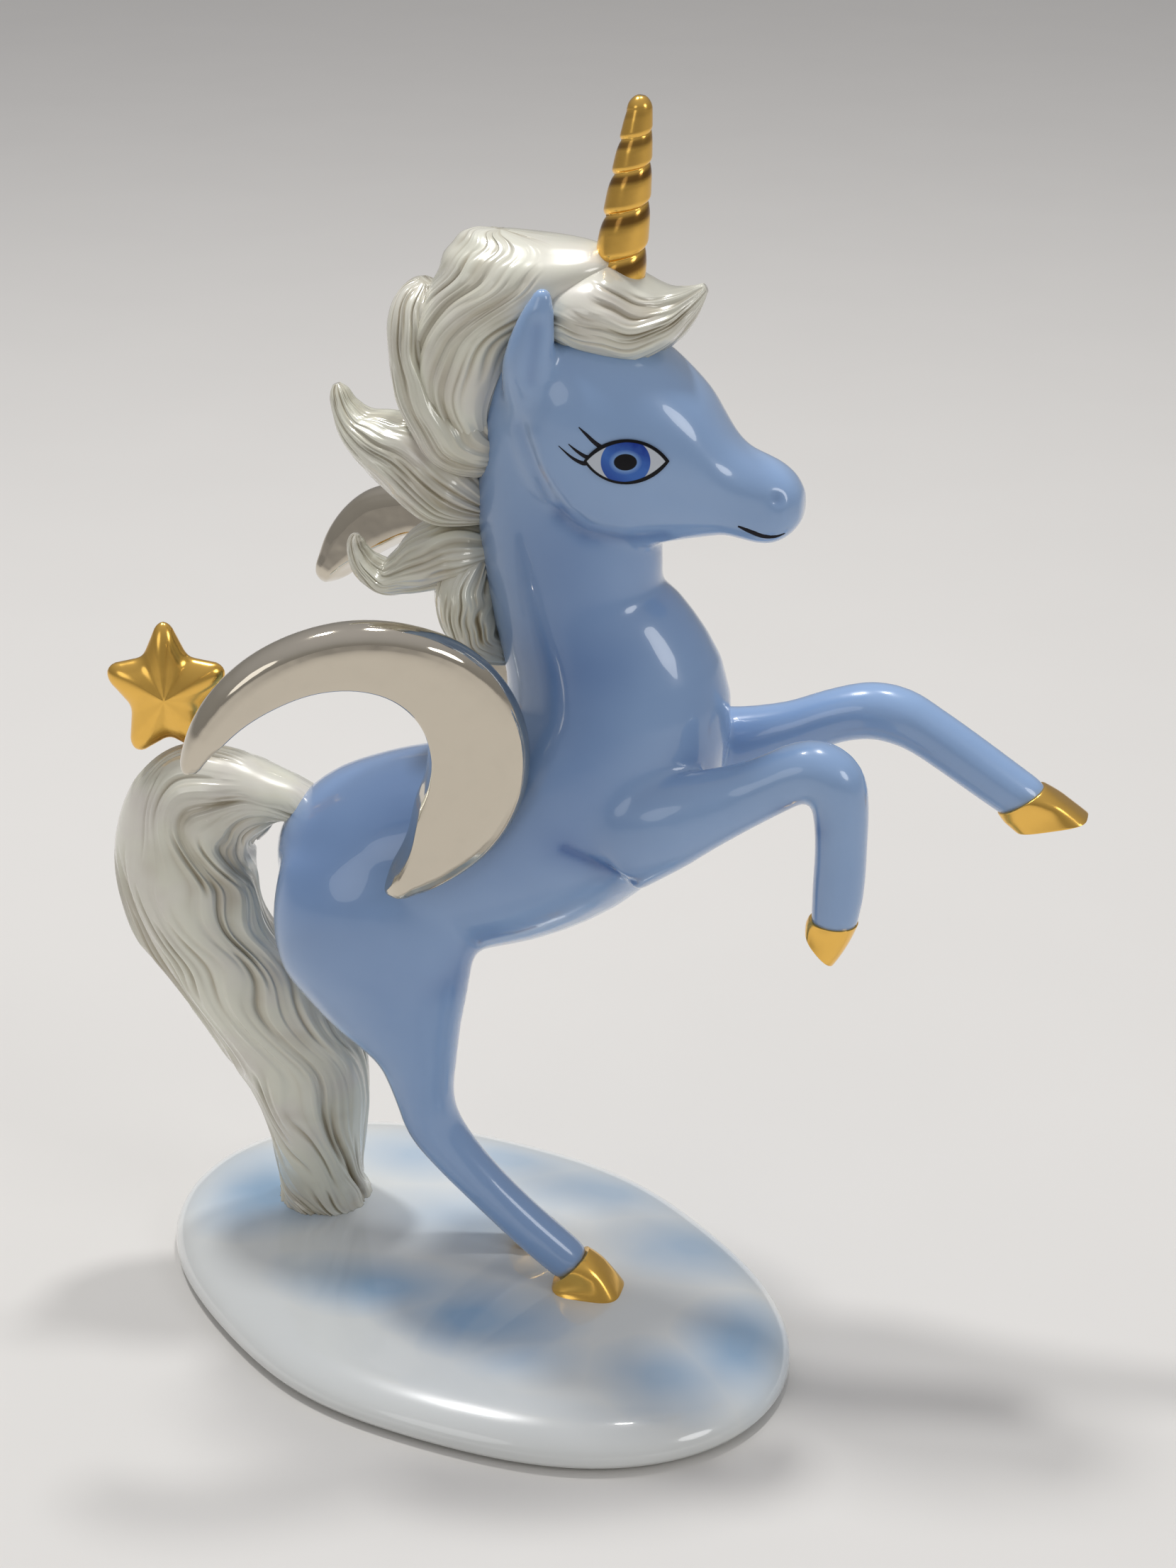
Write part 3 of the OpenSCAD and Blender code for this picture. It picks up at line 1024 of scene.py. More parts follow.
@dataclass
class Face:
    """The painted eyes, lashes and mouth, laid on the head."""

    eye: EyePaint = EyePaint()
    lift: float = 0.04
    wall: float = 0.3
    far: float = 50.0
    grid: tuple[int, int] = (72, 36)
    corner_trim: float = 0.998
    brush_half: float = 0.09
    brush_steps: int = 5
    brush_sides: int = 10
    lashes: tuple[Line, ...] = (
        (
            (19.3, 115.15, 0.16),
            (18.2, 114.85, 0.28),
            (17.2, 115.4, 0.24),
            (16.2, 116.3, 0.17),
            (15.4, 117, 0.05),
        ),
        (
            (18.6, 114.5, 0.16),
            (17.4, 113.95, 0.28),
            (16.4, 113.8, 0.24),
            (15.3, 114.35, 0.17),
            (14.3, 115.1, 0.05),
        ),
        (
            (17, 113.5, 0.14),
            (16.2, 113.15, 0.26),
            (15.6, 113.2, 0.22),
            (14.6, 113.7, 0.15),
            (13.2, 114.8, 0.04),
        ),
    )
    mouth: Line = (
        (31.8, 105.8, 0.1),
        (33, 105.3, 0.28),
        (34.4, 104.75, 0.33),
        (35.6, 104.6, 0.24),
        (36.6, 104.8, 0.06),
    )

    def build(self, body: bpy.types.Object) -> None:
        """Paint both sides of the face.

        Args:
            body: The casting that carries the paint.
        """
        eye_paint = self.eye.material()
        black = Enamel("lash_paint", (0.01, 0.009, 0.012)).material()
        for side in Side:
            dress(self.eye_piece(body, side), eye_paint)
            lashes = [self.line_piece(body, side, line) for line in self.lashes]
            dress(joined(lashes, f"{side.word}_lashes"), black)
            mouth = self.line_piece(body, side, self.mouth)
            mouth.name = mouth.data.name = f"{side.word}_mouth"
            dress(mouth, black)

    def laid(self, points: np.ndarray, body: bpy.types.Object, side: Side, lift: float) -> np.ndarray:
        """Lay points on the body, seen from one side.

        Args:
            points: Rows of x, y, z in metres; y is found here.
            body: What they are laid on.
            side: The side that they are laid on from.
            lift: How far they stand off, in millimetres.

        Returns:
            The points on the surface.
        """
        rows = points.copy()
        inward = Vector((0.0, -side.value, 0.0))
        for row in rows:
            hit, spot, normal, _ = body.ray_cast(Vector((row[0], side.value * self.far * MM, row[2])), inward)
            if hit:
                row[:] = spot + normal * (lift * MM)
        return rows

    def eye_piece(self, body: bpy.types.Object, side: Side) -> bpy.types.Object:
        """One eye, as a thin almond over the cheek."""
        deselect()
        bpy.ops.mesh.primitive_grid_add(x_subdivisions=self.grid[0], y_subdivisions=self.grid[1], size=2.0)
        eye = named(f"{side.word}_eye")
        flat = points_of(eye)
        across = flat[:, 0] * self.eye.half_width * self.corner_trim
        height = flat[:, 1] * self.eye.opening(across) + across * self.eye.tilt
        middle_x, middle_z = self.eye.middle
        spread = np.column_stack([across + middle_x, np.zeros(len(flat)), height + middle_z])
        set_points(eye, self.laid(spread * MM, body, side, self.lift))
        modify(eye, "SOLIDIFY", thickness=self.wall * MM, offset=0.0)
        face_out(eye)
        shade(eye, 40)
        return eye

    def line_piece(self, body: bpy.types.Object, side: Side, line: Line) -> bpy.types.Object:
        """One brush line, thick in the middle and fine at its ends."""
        stations = [(x, 0.0, z, half, self.brush_half) for x, z, half in line]
        rows = smooth_line(stations, self.brush_steps)
        rows[:, :3] = self.laid(rows[:, :3], body, side, 0.0)
        stroke = loft("brush_line", rows, self.brush_sides)
        shade(stroke)
        return stroke


# Hair


@dataclass
class Lock:
    """One combed lock of hair.

    Stations may end with a ring's turn in degrees. Plain places, a middle and a reach, have no strands.
    """

    name: str
    node: str
    line: Line
    strands: int = 44
    clumps: int = 9
    depth: float = 0.5
    clump_depth: float = 0.5
    clump_shade: float = 0.6
    fine: float = 3.2
    swell: float = 0.3
    twist: float = 0.0
    sway: float = 0.12
    waves: float = 1.4
    ripple: float = 0.03
    ripple_rate: float = 3.4
    stray: float = 0.15
    drift: float = 6.0
    cycles: float = 1.6
    plain: Line = ()
    seed: int = 1
    steps: int = 10
    points_each: int = 7

    def build(self, pearl: bpy.types.Material) -> bpy.types.Object:
        """Model the lock and comb it.

        Args:
            pearl: Its finish.

        Returns:
            The lock.
        """
        lock = self.combed()
        shade(lock)
        return dress(lock, pearl, (self.node,))

    def combed(self) -> bpy.types.Object:
        """Loft the lock with its edges along the strands, and cut the grooves between them.

        Returns:
            The lock, with its grooves painted.
        """
        draw = np.random.default_rng(self.seed)
        rows = smooth_line(self.line, self.steps)
        turns = np.radians(rows[:, 5] / MM) if rows.shape[1] > 5 else None
        sides = self.strands * self.points_each
        along = np.linspace(0.0, 1.0, len(rows))[:, None]
        angle = self.flow(draw, along, sides)
        lock = loft(self.name, rows, sides, turns, np.stack([np.sin(angle), np.cos(angle)], axis=-1))
        strand, clump, low = self.relief(draw, along, sides)
        points = points_of(lock).reshape(len(rows), sides, 3)
        spoke = points - rows[:, None, :3]
        reach = np.linalg.norm(spoke, axis=2)
        for *middle, extent in self.plain:
            gap = np.linalg.norm(points / MM - middle, axis=2)
            shown = ease(gap, extent / 2, extent)
            strand, clump, low = strand * shown, clump * shown, low * shown
        cut = self.depth * (strand + low) + self.clump_depth * clump - self.swell
        cut *= MM * np.minimum(1.0, reach / (self.fine * MM))
        points -= spoke / np.maximum(reach, 1e-9)[..., None] * cut[..., None]
        set_points(lock, points.reshape(-1, 3))
        # The groove attribute marks the strand grooves and clump gaps, which the pearl glaze darkens as
        # painted shade.
        paint(lock, "groove", np.clip(strand + self.clump_shade * clump, 0.0, 1.0))
        return lock

    def flow(self, draw: np.random.Generator, along: np.ndarray, sides: int) -> np.ndarray:
        """The angle of each vertex about the lock, so that strands sway and vary in width.

        Args:
            draw: The lock's random draws.
            along: Each ring's place along the lock, as a column.
            sides: Vertices in a ring.

        Returns:
            One angle for each ring and vertex.
        """
        grid = np.linspace(0.0, 2 * np.pi, 721)
        turned = grid[None, :] + self.twist * along
        turned = turned + self.sway * np.sin(2 * np.pi * self.waves * along + draw.uniform(0, 6))
        turned = turned + self.ripple * np.sin(2 * np.pi * self.ripple_rate * self.waves * along + 2 * grid)
        for order in (1, 2, 3, 5, 8):
            phase = draw.uniform(0, 6) + self.drift * draw.uniform(-1, 1) * along
            turned = turned + self.stray / order * np.sin(order * grid + phase)
        marks = np.linspace(0.0, 2 * np.pi, sides, endpoint=False)
        return np.array([np.interp(row[0] + (marks - row[0]) % (2 * np.pi), row, grid) for row in turned])

    def relief(
        self, draw: np.random.Generator, along: np.ndarray, sides: int
    ) -> tuple[np.ndarray, np.ndarray, np.ndarray]:
        """The grooves between strands, the gaps between clumps and the strands that lie low.

        Args:
            draw: The lock's random draws.
            along: Each ring's place along the lock, as a column.
            sides: Vertices in a ring.

        Returns:
            Three reliefs from 0 to about 1, for each ring and vertex.
        """
        place = np.arange(sides) / self.points_each
        groove = np.round(place).astype(int) % self.strands
        member = np.floor(place).astype(int) % self.strands
        valley = (1.0 - np.abs(np.sin(np.pi * place))) ** 1.1
        rate, start = self.cycles * draw.uniform(0.6, 1.4, self.strands), draw.uniform(0.0, 1.0, self.strands)
        fade = np.clip(0.3 + 0.95 * np.sin(2 * np.pi * (rate * along + start)), 0.0, 1.0)
        force = 0.15 + draw.uniform(0.0, 1.0, self.strands) ** 1.3
        strand = valley[None, :] * (fade * force)[:, groove]
        edges = np.sort(draw.choice(self.strands, self.clumps, replace=False))
        apart = np.abs((place[:, None] - edges[None, :] + self.strands / 2) % self.strands - self.strands / 2)
        wave = 0.6 + 0.4 * np.sin(2 * np.pi * (1.3 * along + draw.uniform(0.0, 1.0, self.strands)[groove]))
        clump = np.exp(-((apart.min(axis=1) / 1.4) ** 2))[None, :] * wave
        sunk = draw.uniform(0.0, 0.6, self.strands)
        drift = 0.5 + 0.5 * np.sin(2 * np.pi * (rate * 0.6 * along + start * 3.0))
        low = (sunk * drift)[:, member] * np.abs(np.sin(np.pi * place)) ** 0.7
        return strand, clump, low


@dataclass
class Hair:
    """The mane, the forelock and the tail."""

    locks: tuple[Lock, ...] = (
        Lock(
            "forelock_hair",
            "forelock",
            (
                (10, 0, 127.4, 2.2, 4.2, 90),
                (11.2, 0, 127.4, 3.7, 6.6, 90),
                (13.4, 0, 127.4, 4.6, 7.5, 91),
                (17, 0, 127.3, 5.1, 7.8, 90),
                (20.2, 0, 126.6, 4.3, 6.8, 86),
                (23.1, 0, 127.1, 2.9, 4.8, 77),
                (25.2, 0, 128.6, 1.7, 2.6, 66),
                (26.8, 0, 130.3, 0.5, 0.6, 58),
            ),
            strands=34,
            clumps=5,
            twist=-1.0,
            plain=(
                (17.0, 0.0, 132.6, 6.0),
                (14.0, -6.0, 131.0, 4.0),
                (14.0, 6.0, 131.0, 4.0),
                (21.5, 0.0, 131.0, 4.5),
            ),
            seed=3,
        ),
        Lock(
            "poll_hair",
            "mane_poll",
            (
                (4.6, 0, 135.3, 0.8, 0.4, 183),
                (5.4, 0, 135.1, 3.6, 1.5, 183),
                (7.2, 0, 134.6, 6.9, 2.9, 181.5),
                (7.8, 0, 133.7, 8.4, 4.3, 180.5),
                (7.8, 0, 132.5, 9.4, 6, 180.5),
                (6.9, 0, 130.4, 9.2, 7.1, 181),
                (4.6, 0, 127.7, 8.4, 7.7, 181),
                (1.9, 0, 124.4, 7, 8, 180),
                (0.7, 0, 120.6, 5.8, 7.9, 180),
                (0.4, 0, 117, 4.6, 7.3, 180),
                (1, 0, 113.6, 3.2, 6.2, 180),
                (1.8, 0, 110.6, 1.6, 4, 180),
            ),
            strands=48,
            clumps=11,
            twist=-0.6,
            plain=((13.5, -3.0, 131.5, 8.0), (13.5, 3.0, 131.5, 8.0)),
            seed=5,
            steps=8,
        ),
        Lock(
            "crest_hair",
            "mane_crest",
            (
                (-4, 0, 129.3, 0.8, 1.4),
                (-4.5, 0, 127.9, 2.2, 3.8),
                (-4.8, 0, 125.5, 3.1, 5.4),
                (-4.6, 0, 122.2, 3.4, 6.4),
                (-3.6, 0, 118.8, 4.2, 7.1),
                (-1.6, 0, 115.6, 4.8, 7.4),
                (0.5, 0, 112.8, 5, 7.2),
                (3, 0, 110.8, 3.6, 5.6),
                (4.6, 0, 109.8, 1.4, 3),
            ),
            strands=42,
            twist=0.5,
            seed=7,
        ),
        Lock(
            "upper_curl_hair",
            "mane_upper_curl",
            (
                (3, 0, 104, 2, 3),
                (-1, 0, 106.2, 4.8, 6.4),
                (-5.4, 0, 109, 4.9, 5.8),
                (-9.2, 0, 110.6, 3.6, 4.8),
                (-12.1, 0, 112.2, 2.3, 3.4),
                (-13.7, 0, 114.3, 1.4, 2.1),
                (-14.4, 0, 116.1, 1, 1.3),
                (-14.7, 0, 117, 0.4, 0.5),
            ),
            strands=34,
            clumps=7,
            seed=11,
        ),
        Lock(
            "lower_curl_hair",
            "mane_lower_curl",
            (
                (3.5, 0, 99.5, 2, 3),
                (0, 0, 99.2, 4, 6),
                (-3.6, 0, 97.8, 3.9, 5.4),
                (-6.8, 0, 95.9, 2.7, 4.2),
                (-9.5, 0, 94.8, 1.9, 3.2),
                (-11.8, 0, 95.9, 1.55, 2.3),
                (-12.9, 0, 97.6, 1.15, 1.6),
                (-13.1, 0, 98.9, 0.85, 1.1),
                (-13, 0, 99.6, 0.35, 0.4),
            ),
            strands=34,
            clumps=7,
            seed=13,
        ),
        Lock(
            "withers_hair",
            "mane_withers",
            (
                (2.6, 0, 99.5, 1.6, 3),
                (0.7, 0, 96, 3.5, 6.4),
                (0.8, 0, 92.4, 3.6, 7.2),
                (2.4, 0, 89.4, 3, 6.6),
                (4.4, 0, 87.4, 1.7, 4),
                (5.8, 0, 86.2, 0.5, 1.5),
            ),
            strands=36,
            clumps=7,
            seed=17,
        ),
        Lock(
            "tail_hair",
            "tail",
            (
                (-18.5, 0, 64.2, 2.2, 2.8, -70),
                (-21.3, 0, 65.5, 2.4, 3.2, -84),
                (-24.3, 0, 66.2, 3.1, 3.9, -100),
                (-27.7, 0, 66.2, 5.4, 4.6, -115),
                (-31.3, 0, 65.5, 7.2, 5.2, -130),
                (-33.8, 0, 63.6, 7.9, 5.6, -146),
                (-35.4, 0, 60.6, 8.3, 5.8, -162),
                (-36.3, 0, 56.4, 8.6, 5.9, -178),
                (-36.1, 0.2, 52.2, 8.8, 6, -188),
                (-35, 0.8, 47.1, 8.6, 6, -194),
                (-32.3, 1.6, 42.5, 7.9, 5.9, -200),
                (-29.1, 2.6, 37.3, 8, 5.7, -205),
                (-25.8, 4, 31.2, 8.4, 5.5, -206),
                (-23.6, 5.2, 26.1, 8.1, 5.4, -206),
                (-23, 6.4, 20.1, 7.2, 5.3, -202),
                (-23.2, 7.2, 14.7, 6.3, 5.2, -196),
                (-23.5, 8, 9.9, 5.4, 5.2, -188),
                (-23.4, 8.2, 7.5, 5.5, 5.4, -182),
                (-23.3, 8.2, 6, 6, 5.8, -180),
            ),
            strands=40,
            clumps=9,
            depth=0.6,
            clump_depth=0.7,
            twist=1.4,
            sway=0.35,
            waves=1.8,
            ripple=0.1,
            drift=14.0,
            cycles=3.6,
            plain=((-24.0, -2.0, 69.5, 7.0), (-42.0, 0.0, 62.0, 9.0)),
            seed=19,
            steps=9,
        ),
    )

    def build(self, pearl: bpy.types.Material) -> None:
        """Model every lock.

        Args:
            pearl: Their finish.
        """
        for lock in self.locks:
            lock.build(pearl)


# Metal-lustred pieces


@dataclass
class Horn:
    """The spiral horn, whose turns draw closer towards the tip.

    The nose and the fade are spans of the horn's length; the other spans are shares of one turn.
    """

    root: tuple[float, float, float] = (17.2, 0.0, 129.6)
    lean: float = math.radians(7.0)
    length: float = 20.6
    root_radius: float = 2.85
    taper: float = 1.7
    taper_power: float = 1.7
    nose_span: tuple[float, float] = (0.94, 1.005)
    nose_end: float = 0.99
    first_pitch: float = 6.33
    closing: float = 0.19
    phase: float = 0.908
    groove: float = 0.24
    shoulder_span: tuple[float, float] = (0.5, 1.0)
    foot_span: tuple[float, float] = (0.16, 0.0)
    fade_span: tuple[float, float] = (0.97, 0.72)
    # Strength and span, in shares of one turn, of the painted shade and dark reflection in the grooves.
    wear_and_shade: float = 0.8
    groove_shade_start: tuple[float, float] = (0.62, 0.74)
    groove_shade_end: tuple[float, float] = (0.96, 0.86)
    sides: int = 72
    rings: int = 190

    def build(self, gold: bpy.types.Material) -> bpy.types.Object:
        """Model the horn.

        Args:
            gold: Its finish.

        Returns:
            The horn.
        """
        share = np.linspace(0.0, 1.0, self.rings)
        nose = np.minimum(ease(share, *self.nose_span), self.nose_end)
        radius = (self.root_radius - self.taper * share**self.taper_power) * np.sqrt(1 - nose**2)
        climb = share * self.length
        axis = np.array([math.sin(self.lean), 0.0, math.cos(self.lean)])
        middle = np.array(self.root) + climb[:, None] * axis
        rows = np.column_stack([middle, radius, radius]) * MM
        around = np.linspace(0.0, 1.0, self.sides, endpoint=False)[None, :]
        wound = -np.log(1.0 - self.closing * climb / self.first_pitch) / self.closing
        wind = (wound[:, None] - around + self.phase) % 1.0
        slopes = [np.sqrt(1.0 - ease(wind, *span) ** 2) for span in (self.shoulder_span, self.foot_span)]
        band = np.minimum(*slopes)
        fade = ease(share, *self.fade_span)[:, None]
        ring = oval(self.sides)[None, :, :] * (1.0 - self.groove * fade * (1.0 - band))[..., None]
        horn = loft("gold_horn", rows, self.sides, np.full(self.rings, self.lean), ring)
        shade(horn)
        # Painted shade and dark reflection in the groove of each turn, fading towards the tip.
        worn_and_shaded = ease(wind, *self.groove_shade_start) * ease(wind, *self.groove_shade_end)
        paint(horn, "groove", self.wear_and_shade * fade * worn_and_shaded)
        return dress(horn, gold, ("horn",))


@dataclass
class Star:
    """The puffy star on the tail."""

    at: tuple[float, float, float] = (-37.2, 0.0, 77.9)
    facing: float = math.radians(14.0)
    radius: float = 10.1
    squeeze: float = 0.82
    valley: float = 0.54
    soft: float = math.radians(9.0)
    rim: float = 1.3
    crown: float = 1.7
    flatness: int = 5
    points: int = 5

    def build(self, gold: bpy.types.Material) -> bpy.types.Object:
        """Model the star out of a ball.

        Args:
            gold: Its finish.

        Returns:
            The star.
        """
        deselect()
        bpy.ops.mesh.primitive_uv_sphere_add(segments=120, ring_count=48, radius=1.0)
        star = named("gold_star")
        ball = points_of(star)
        share = np.hypot(ball[:, 0], ball[:, 1])
        angle = np.arctan2(ball[:, 1], ball[:, 0])
        reach = self.outline(angle) * share
        dome = self.rim * np.sqrt(np.clip(1 - share**self.flatness, 0, 1)) + self.crown * (1 - share)
        height = np.sign(ball[:, 2]) * dome
        flat = np.column_stack([reach * np.cos(angle) * self.squeeze, reach * np.sin(angle), height])
        set_points(star, flat * MM)
        stand = Matrix.Rotation(self.facing, 4, "Z") @ Matrix.Rotation(math.pi / 2, 4, "X")
        star.data.transform(Matrix.Translation(Vector(self.at) * MM) @ stand)
        shade(star)
        return dress(star, gold, ("star",))

    def outline(self, angle: np.ndarray) -> np.ndarray:
        """The star's radius in each direction, with its points and valleys rounded."""
        half = math.pi / self.points
        rise, run = self.valley * math.sin(half), 1 - self.valley * math.cos(half)
        total = np.zeros(len(angle))
        shifts = np.linspace(-self.soft, self.soft, 9)
        for shift in shifts:
            off = np.abs((angle + shift - math.pi / 2 + half) % (2 * half) - half)
            total += self.radius * rise / (rise * np.cos(off) + run * np.sin(off))
        return total / len(shifts)


@dataclass
class Crescent:
    """A crescent moon with flat faces, a fine bevel and a rolled outer rim."""

    side: Side
    shift: tuple[float, float, float] = (0.0, 0.0, 0.0)
    half_thick: float = 2.5
    roll: float = 2.1
    bevel: float = 0.3
    inner_round: float = 0.45
    tip_round: float = 1.6
    middle: tuple[float, float, float] = (-7.28, -19.77, 79.84)
    along: tuple[float, float, float] = (0.931, 0.359, 0.066)
    up: tuple[float, float, float] = (0.0, -0.181, 0.984)
    steps: int = 10
    edges: Line = (
        (-84, 16.4, 17.9),
        (-78, 14.8, 18.1),
        (-68, 12.5, 18.4),
        (-55, 10, 18.6),
        (-42, 8.7, 18.9),
        (-25, 8.2, 19.1),
        (-6, 8.1, 19.2),
        (17, 8.5, 19.2),
        (45, 9.6, 18.9),
        (68, 10.5, 18.3),
        (103, 11.5, 17.9),
        (129, 12.6, 18.1),
        (152, 14.5, 18.6),
        (166, 16.2, 18.9),
        (175, 17.4, 19.1),
    )

    def build(self, platinum: bpy.types.Material) -> bpy.types.Object:
        """Model the crescent.

        Args:
            platinum: Its finish.

        Returns:
            The crescent.
        """
        degrees, inner, outer = (smooth_line(self.edges, self.steps) / MM).T
        sweep, middle = np.radians(degrees), (outer + inner) / 2
        ones = np.ones(len(sweep))
        rows = np.column_stack([middle * np.cos(sweep), 0 * ones, middle * np.sin(sweep), ones, ones]) * MM
        tip_gap = np.minimum(sweep - sweep[0], sweep[-1] - sweep) * outer
        sections = np.array([self.section(*ring) for ring in zip(inner, outer, tip_gap)])
        moon = loft(f"{self.side.word}_moon", rows, sections.shape[1], -sweep, sections)
        along, up = Vector(self.along).normalized(), Vector(self.up).normalized()
        turn = Matrix((along, -along.cross(up), up)).transposed().to_4x4()
        moon.data.transform(Matrix.Translation(Vector(self.middle) * MM) @ turn)
        if self.side is Side.LEFT:
            moon.data.transform(Matrix.Translation(Vector(self.shift) * MM) @ Matrix.Scale(-1, 4, (0, 1, 0)))
        face_out(moon)
        shade(moon, 28)
        return dress(moon, platinum, (f"{self.side.word}_crescent",))

    def section(self, inner: float, outer: float, tip_gap: float) -> np.ndarray:
        """The arm's outline at one ring.

        Args:
            inner: Radius of the inner edge in millimetres.
            outer: Radius of the outer edge.
            tip_gap: Distance from the nearer tip along the outer edge.

        Returns:
            Rows of distance inwards from the ring's middle and distance across the crescent.
        """
        width, middle = outer - inner, (outer + inner) / 2
        half = min(self.half_thick, 0.5 + 0.55 * width)
        roll, inset = min(self.roll, 0.45 * width), min(self.inner_round, 0.2 * width)
        bevel = min(self.bevel, 0.1 * width)
        face = np.linspace(outer - roll, inner + inset, 6)
        quarter = np.radians([30.0, 60.0, 90.0])
        near = [(r, half) for r in face]
        near += [(inner + inset * (1 - math.sin(q)), half - inset * (1 - math.cos(q))) for q in quarter]
        near += [(inner, share * (half - inset)) for share in (0.5, 0.0)]
        rim_half, rim_start = half - 0.5 * bevel, outer - roll + bevel
        rim = [(rim_start, rim_half)]
        for q in np.radians(np.arange(15.0, 91.0, 12.5)):
            rim.append((rim_start + (roll - bevel) * math.sin(q), rim_half * math.cos(q)))
        outline = near + [(r, -y) for r, y in near[-2::-1]]
        outline += [(r, -y) for r, y in rim] + rim[-2::-1]
        tip = math.sqrt(1.0 - (1.0 - min(tip_gap / self.tip_round, 1.0) * 0.98 - 0.02) ** 2)
        return np.array([((middle - r) * tip, y * tip) for r, y in outline])


# The left moon's rear arm is broader than the right one's and ends sooner.
BROAD_ARM = ((129, 11.9, 19.3), (148, 13.5, 19.7), (161, 15.5, 19.5), (170, 17.2, 19.2))
LEFT_EDGES = Crescent.edges[: -len(BROAD_ARM)] + BROAD_ARM
MOONS = (
    Crescent(Side.RIGHT),
    Crescent(Side.LEFT, shift=(-1.95, -1.2, 2.0), edges=LEFT_EDGES),
)


@dataclass
class Hoof:
    """A gilded hoof with flat sides, from the slanted coronet to the rimmed sole."""

    name: str
    node: str
    coronet: tuple[float, float, float, float]
    heading: float
    sole: tuple[float, float, float]
    sole_size: tuple[float, float]
    sole_turn: float
    power: float = 3.6
    top_power: float = 2.1
    squared_at: float = 0.4
    scoop: float = 0.10
    bevel: float = 0.3
    rings: int = 18
    sides: int = 48

    def build(self, gold: bpy.types.Material) -> bpy.types.Object:
        """Model the hoof.

        Args:
            gold: Its finish.

        Returns:
            The hoof.
        """
        share = np.linspace(0.0, 1.0, self.rings)
        start = np.array([*self.coronet[:3], self.coronet[3], self.coronet[3]])
        end = np.array([*self.sole, *self.sole_size])
        rows = start + (end - start) * share[:, None]
        rows[:, 4] *= 1.0 - self.scoop * np.sin(np.pi * share)
        turns = np.radians(self.heading + (self.sole_turn - self.heading) * share)
        powers = self.top_power + (self.power - self.top_power) * ease(share, 0.0, self.squared_at)
        sections = np.array([oval(self.sides, power) for power in powers])
        hoof = loft(self.name, rows * MM, self.sides, turns, sections)
        sharp = math.radians(50)
        modify(hoof, "BEVEL", width=self.bevel * MM, segments=3, limit_method="ANGLE", angle_limit=sharp)
        shade(hoof, 40)
        return dress(hoof, gold, (self.node,))


HOOVES = (
    Hoof(
        "right_fore_gold",
        "right_fore_hoof",
        (44.4, -9, 62.1, 2.75),
        184,
        (43, -9, 58.7),
        (2.5, 2.5),
        228,
        power=2.4,
    ),
    Hoof("left_fore_gold", "left_fore_hoof", (62.8, 8, 71.6, 3.15), 146, (66.5, 8, 68.9), (4.1, 2.7), 165),
    Hoof("right_hind_gold", "right_hind_hoof", (13, -4.5, 8.9, 2.95), 136, (15.2, -4.5, 6), (4.2, 3.3), 180),
    Hoof("left_hind_gold", "left_hind_hoof", (4.8, 3.2, 9.1, 2.45), 137, (8.5, 3.2, 6), (3, 2.5), 180),
)


@dataclass
class CloudBase:
    """The cloud-shaped slab, with a broad rolled shoulder."""

    middle: tuple[float, float] = (-0.7, -0.9)
    radius: float = 35.9
    stretch: float = 7.2
    lobe: float = 1.35
    turn: float = math.radians(-26.6)
    height: float = 6.0
    sides: int = 180
    edge: Line = (
        (0, 2.4),
        (0.02, 1.7),
        (0.06, 1),
        (0.14, 0.4),
        (0.26, 0.02),
        (0.4, 0.15),
        (0.52, 0.55),
        (0.62, 1.1),
        (0.71, 1.9),
        (0.79, 2.9),
        (0.86, 4.1),
        (0.915, 5.5),
        (0.955, 7),
        (0.985, 8.7),
        (1, 10.5),
        (1, 13),
    )

    def build(self, glaze: bpy.types.Material) -> bpy.types.Object:
        """Model the base.

        Args:
            glaze: Its finish.

        Returns:
            The base.
        """
        share, inset = np.asarray(self.edge, float).T
        nought = np.zeros(len(share))
        size = self.radius - inset
        rows = np.column_stack([nought, nought, share * self.height, size, size])
        base = loft("cloud_slab", rows * MM, self.sides, nought)
        points = points_of(base) / MM
        angle = np.arctan2(points[:, 1], points[:, 0]) - self.turn
        swell = self.stretch * np.cos(2 * angle) + self.lobe * np.cos(4 * angle)
        reach = np.linalg.norm(points[:, :2], axis=1)
        points[:, :2] *= ((reach + swell) / reach)[:, None]
        points[:, :2] += self.middle
        set_points(base, points * MM)
        shade(base)
        return dress(base, glaze, ("cloud_base",))


# Studio


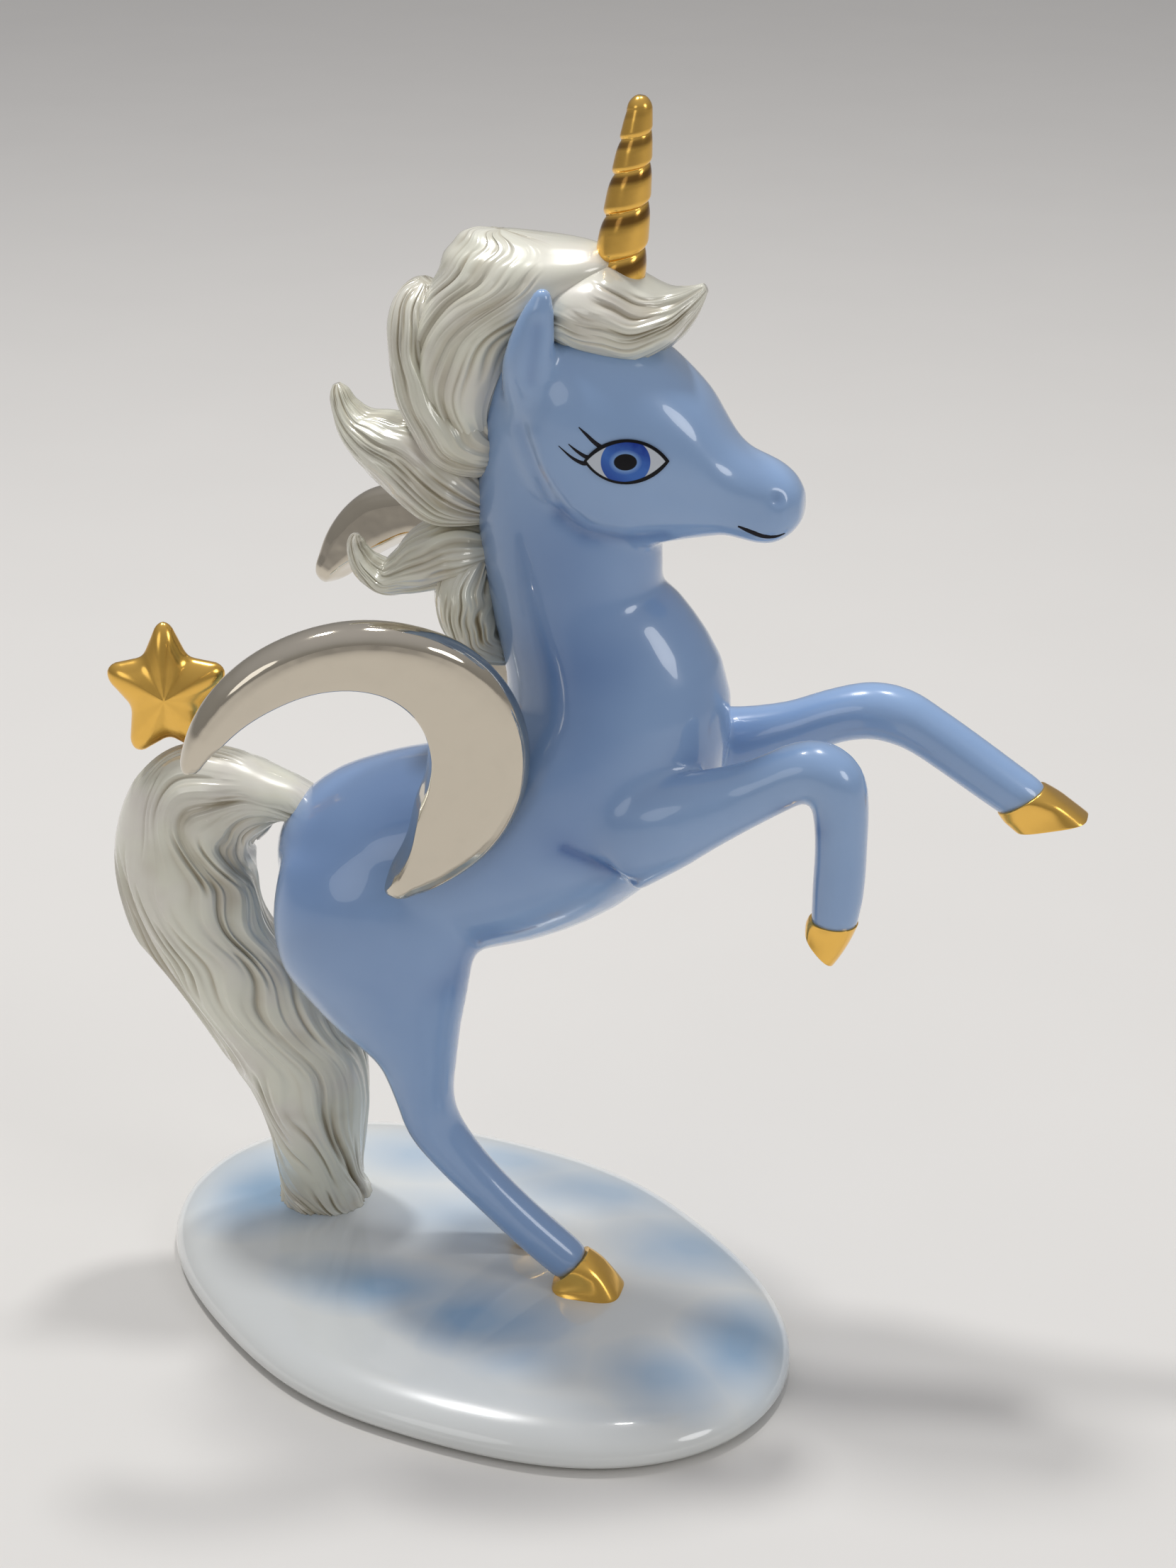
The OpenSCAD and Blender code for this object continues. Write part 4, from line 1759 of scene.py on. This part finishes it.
@dataclass
class Studio:
    """The floor, the lamps and the camera."""

    frame: tuple[int, int] = (1659, 2212)
    azimuth: float = math.radians(14.0)
    elevation: float = math.radians(24.0)
    distance: float = 326.175
    focal_pixels: float = 4000.0
    target: tuple[float, float, float] = (14.0, 0.0, 71.53)
    sensor: float = 36.0
    floor_size: float = 6.0
    floor_colour: Colour = (0.72, 0.70, 0.67)
    sky: tuple[tuple[float, Colour], ...] = (
        (0.0, (0.27, 0.265, 0.26)),
        (0.25, (0.30, 0.295, 0.29)),
        (0.6, (0.40, 0.40, 0.41)),
        (1.0, (0.50, 0.50, 0.52)),
    )
    lamps: tuple[tuple[str, tuple[float, float, float], float, float], ...] = (
        ("overhead_left", (-0.24, 0.08, 0.78), 0.09, 2.1),
        ("overhead_right", (0.06, 0.18, 0.82), 0.09, 1.9),
        ("window", (0.75, -0.30, 0.50), 0.30, 0.9),
        ("front_fill", (-0.45, -0.85, 0.45), 0.45, 0.5),
    )

    def build(self) -> None:
        """Set up the stage."""
        self.floor()
        self.light()
        self.camera()

    def floor(self) -> None:
        """Lay the pale floor."""
        deselect()
        bpy.ops.mesh.primitive_plane_add(size=self.floor_size)
        floor = bpy.context.object
        floor.name = "floor"
        surface = Surface("floor_paper")
        worn_and_shaded = tuple(c * 1.03 for c in self.floor_colour)
        paper = surface.mix(surface.noise(40.0), self.floor_colour, worn_and_shaded)
        surface.principled(base_color=paper, roughness=0.85)
        floor.data.materials.append(surface.material)

    def light(self) -> None:
        """Hang the lamps and shade the sky from the horizon up."""
        middle = Vector(self.target) * MM
        for name, place, size, power in self.lamps:
            deselect()
            bpy.ops.object.light_add(type="AREA", location=place)
            lamp = bpy.context.object
            lamp.name = name
            lamp.data.shape = "DISK"
            lamp.data.size = size
            lamp.data.energy = power
            lamp.rotation_euler = (middle - Vector(place)).to_track_quat("-Z", "Y").to_euler()
        world = bpy.data.worlds.new("studio")
        world.use_nodes = True
        graph = Graph(world.node_tree)
        ways = graph.node("ShaderNodeTexCoord").outputs["Generated"]
        height = Value(graph, graph.node("ShaderNodeSeparateXYZ", sockets={0: ways}).outputs[2])
        sky = graph.node("ShaderNodeBackground", sockets={"Color": graph.ramp(height.clamped(), self.sky)})
        graph.node("ShaderNodeOutputWorld", sockets={"Surface": sky.outputs[0]})
        bpy.context.scene.world = world

    def camera(self) -> None:
        """Place the camera at the photograph's viewing angle."""
        level, rise = math.cos(self.elevation), math.sin(self.elevation)
        back = Vector((math.sin(self.azimuth) * level, -math.cos(self.azimuth) * level, rise))
        deselect()
        bpy.ops.object.camera_add(location=(Vector(self.target) + back * self.distance) * MM)
        camera = bpy.context.object
        camera.data.sensor_width = self.sensor
        camera.data.lens = self.focal_pixels * self.sensor / self.frame[1]
        camera.data.clip_start = 0.01
        camera.rotation_mode = "QUATERNION"
        camera.rotation_quaternion = (-back).to_track_quat("-Z", "Y")
        bpy.context.scene.camera = camera
        bpy.context.scene.view_settings.view_transform = "Standard"


def main() -> None:
    """Build the figurine and its stage."""
    logging.basicConfig(level=logging.INFO, format="%(name)s: %(message)s")
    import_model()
    deselect()
    Studio().build()
    gold, platinum = GOLD.material(), PLATINUM.material()
    body = Body().build(BlueGlaze().material())
    Face().build(body)
    Hair().build(PearlGlaze().material())
    Horn().build(gold)
    Star().build(gold)
    for moon in MOONS:
        moon.build(platinum)
    for hoof in HOOVES:
        hoof.build(gold)
    CloudBase().build(WhiteGlaze().material())


if __name__ == "__main__":
    main()
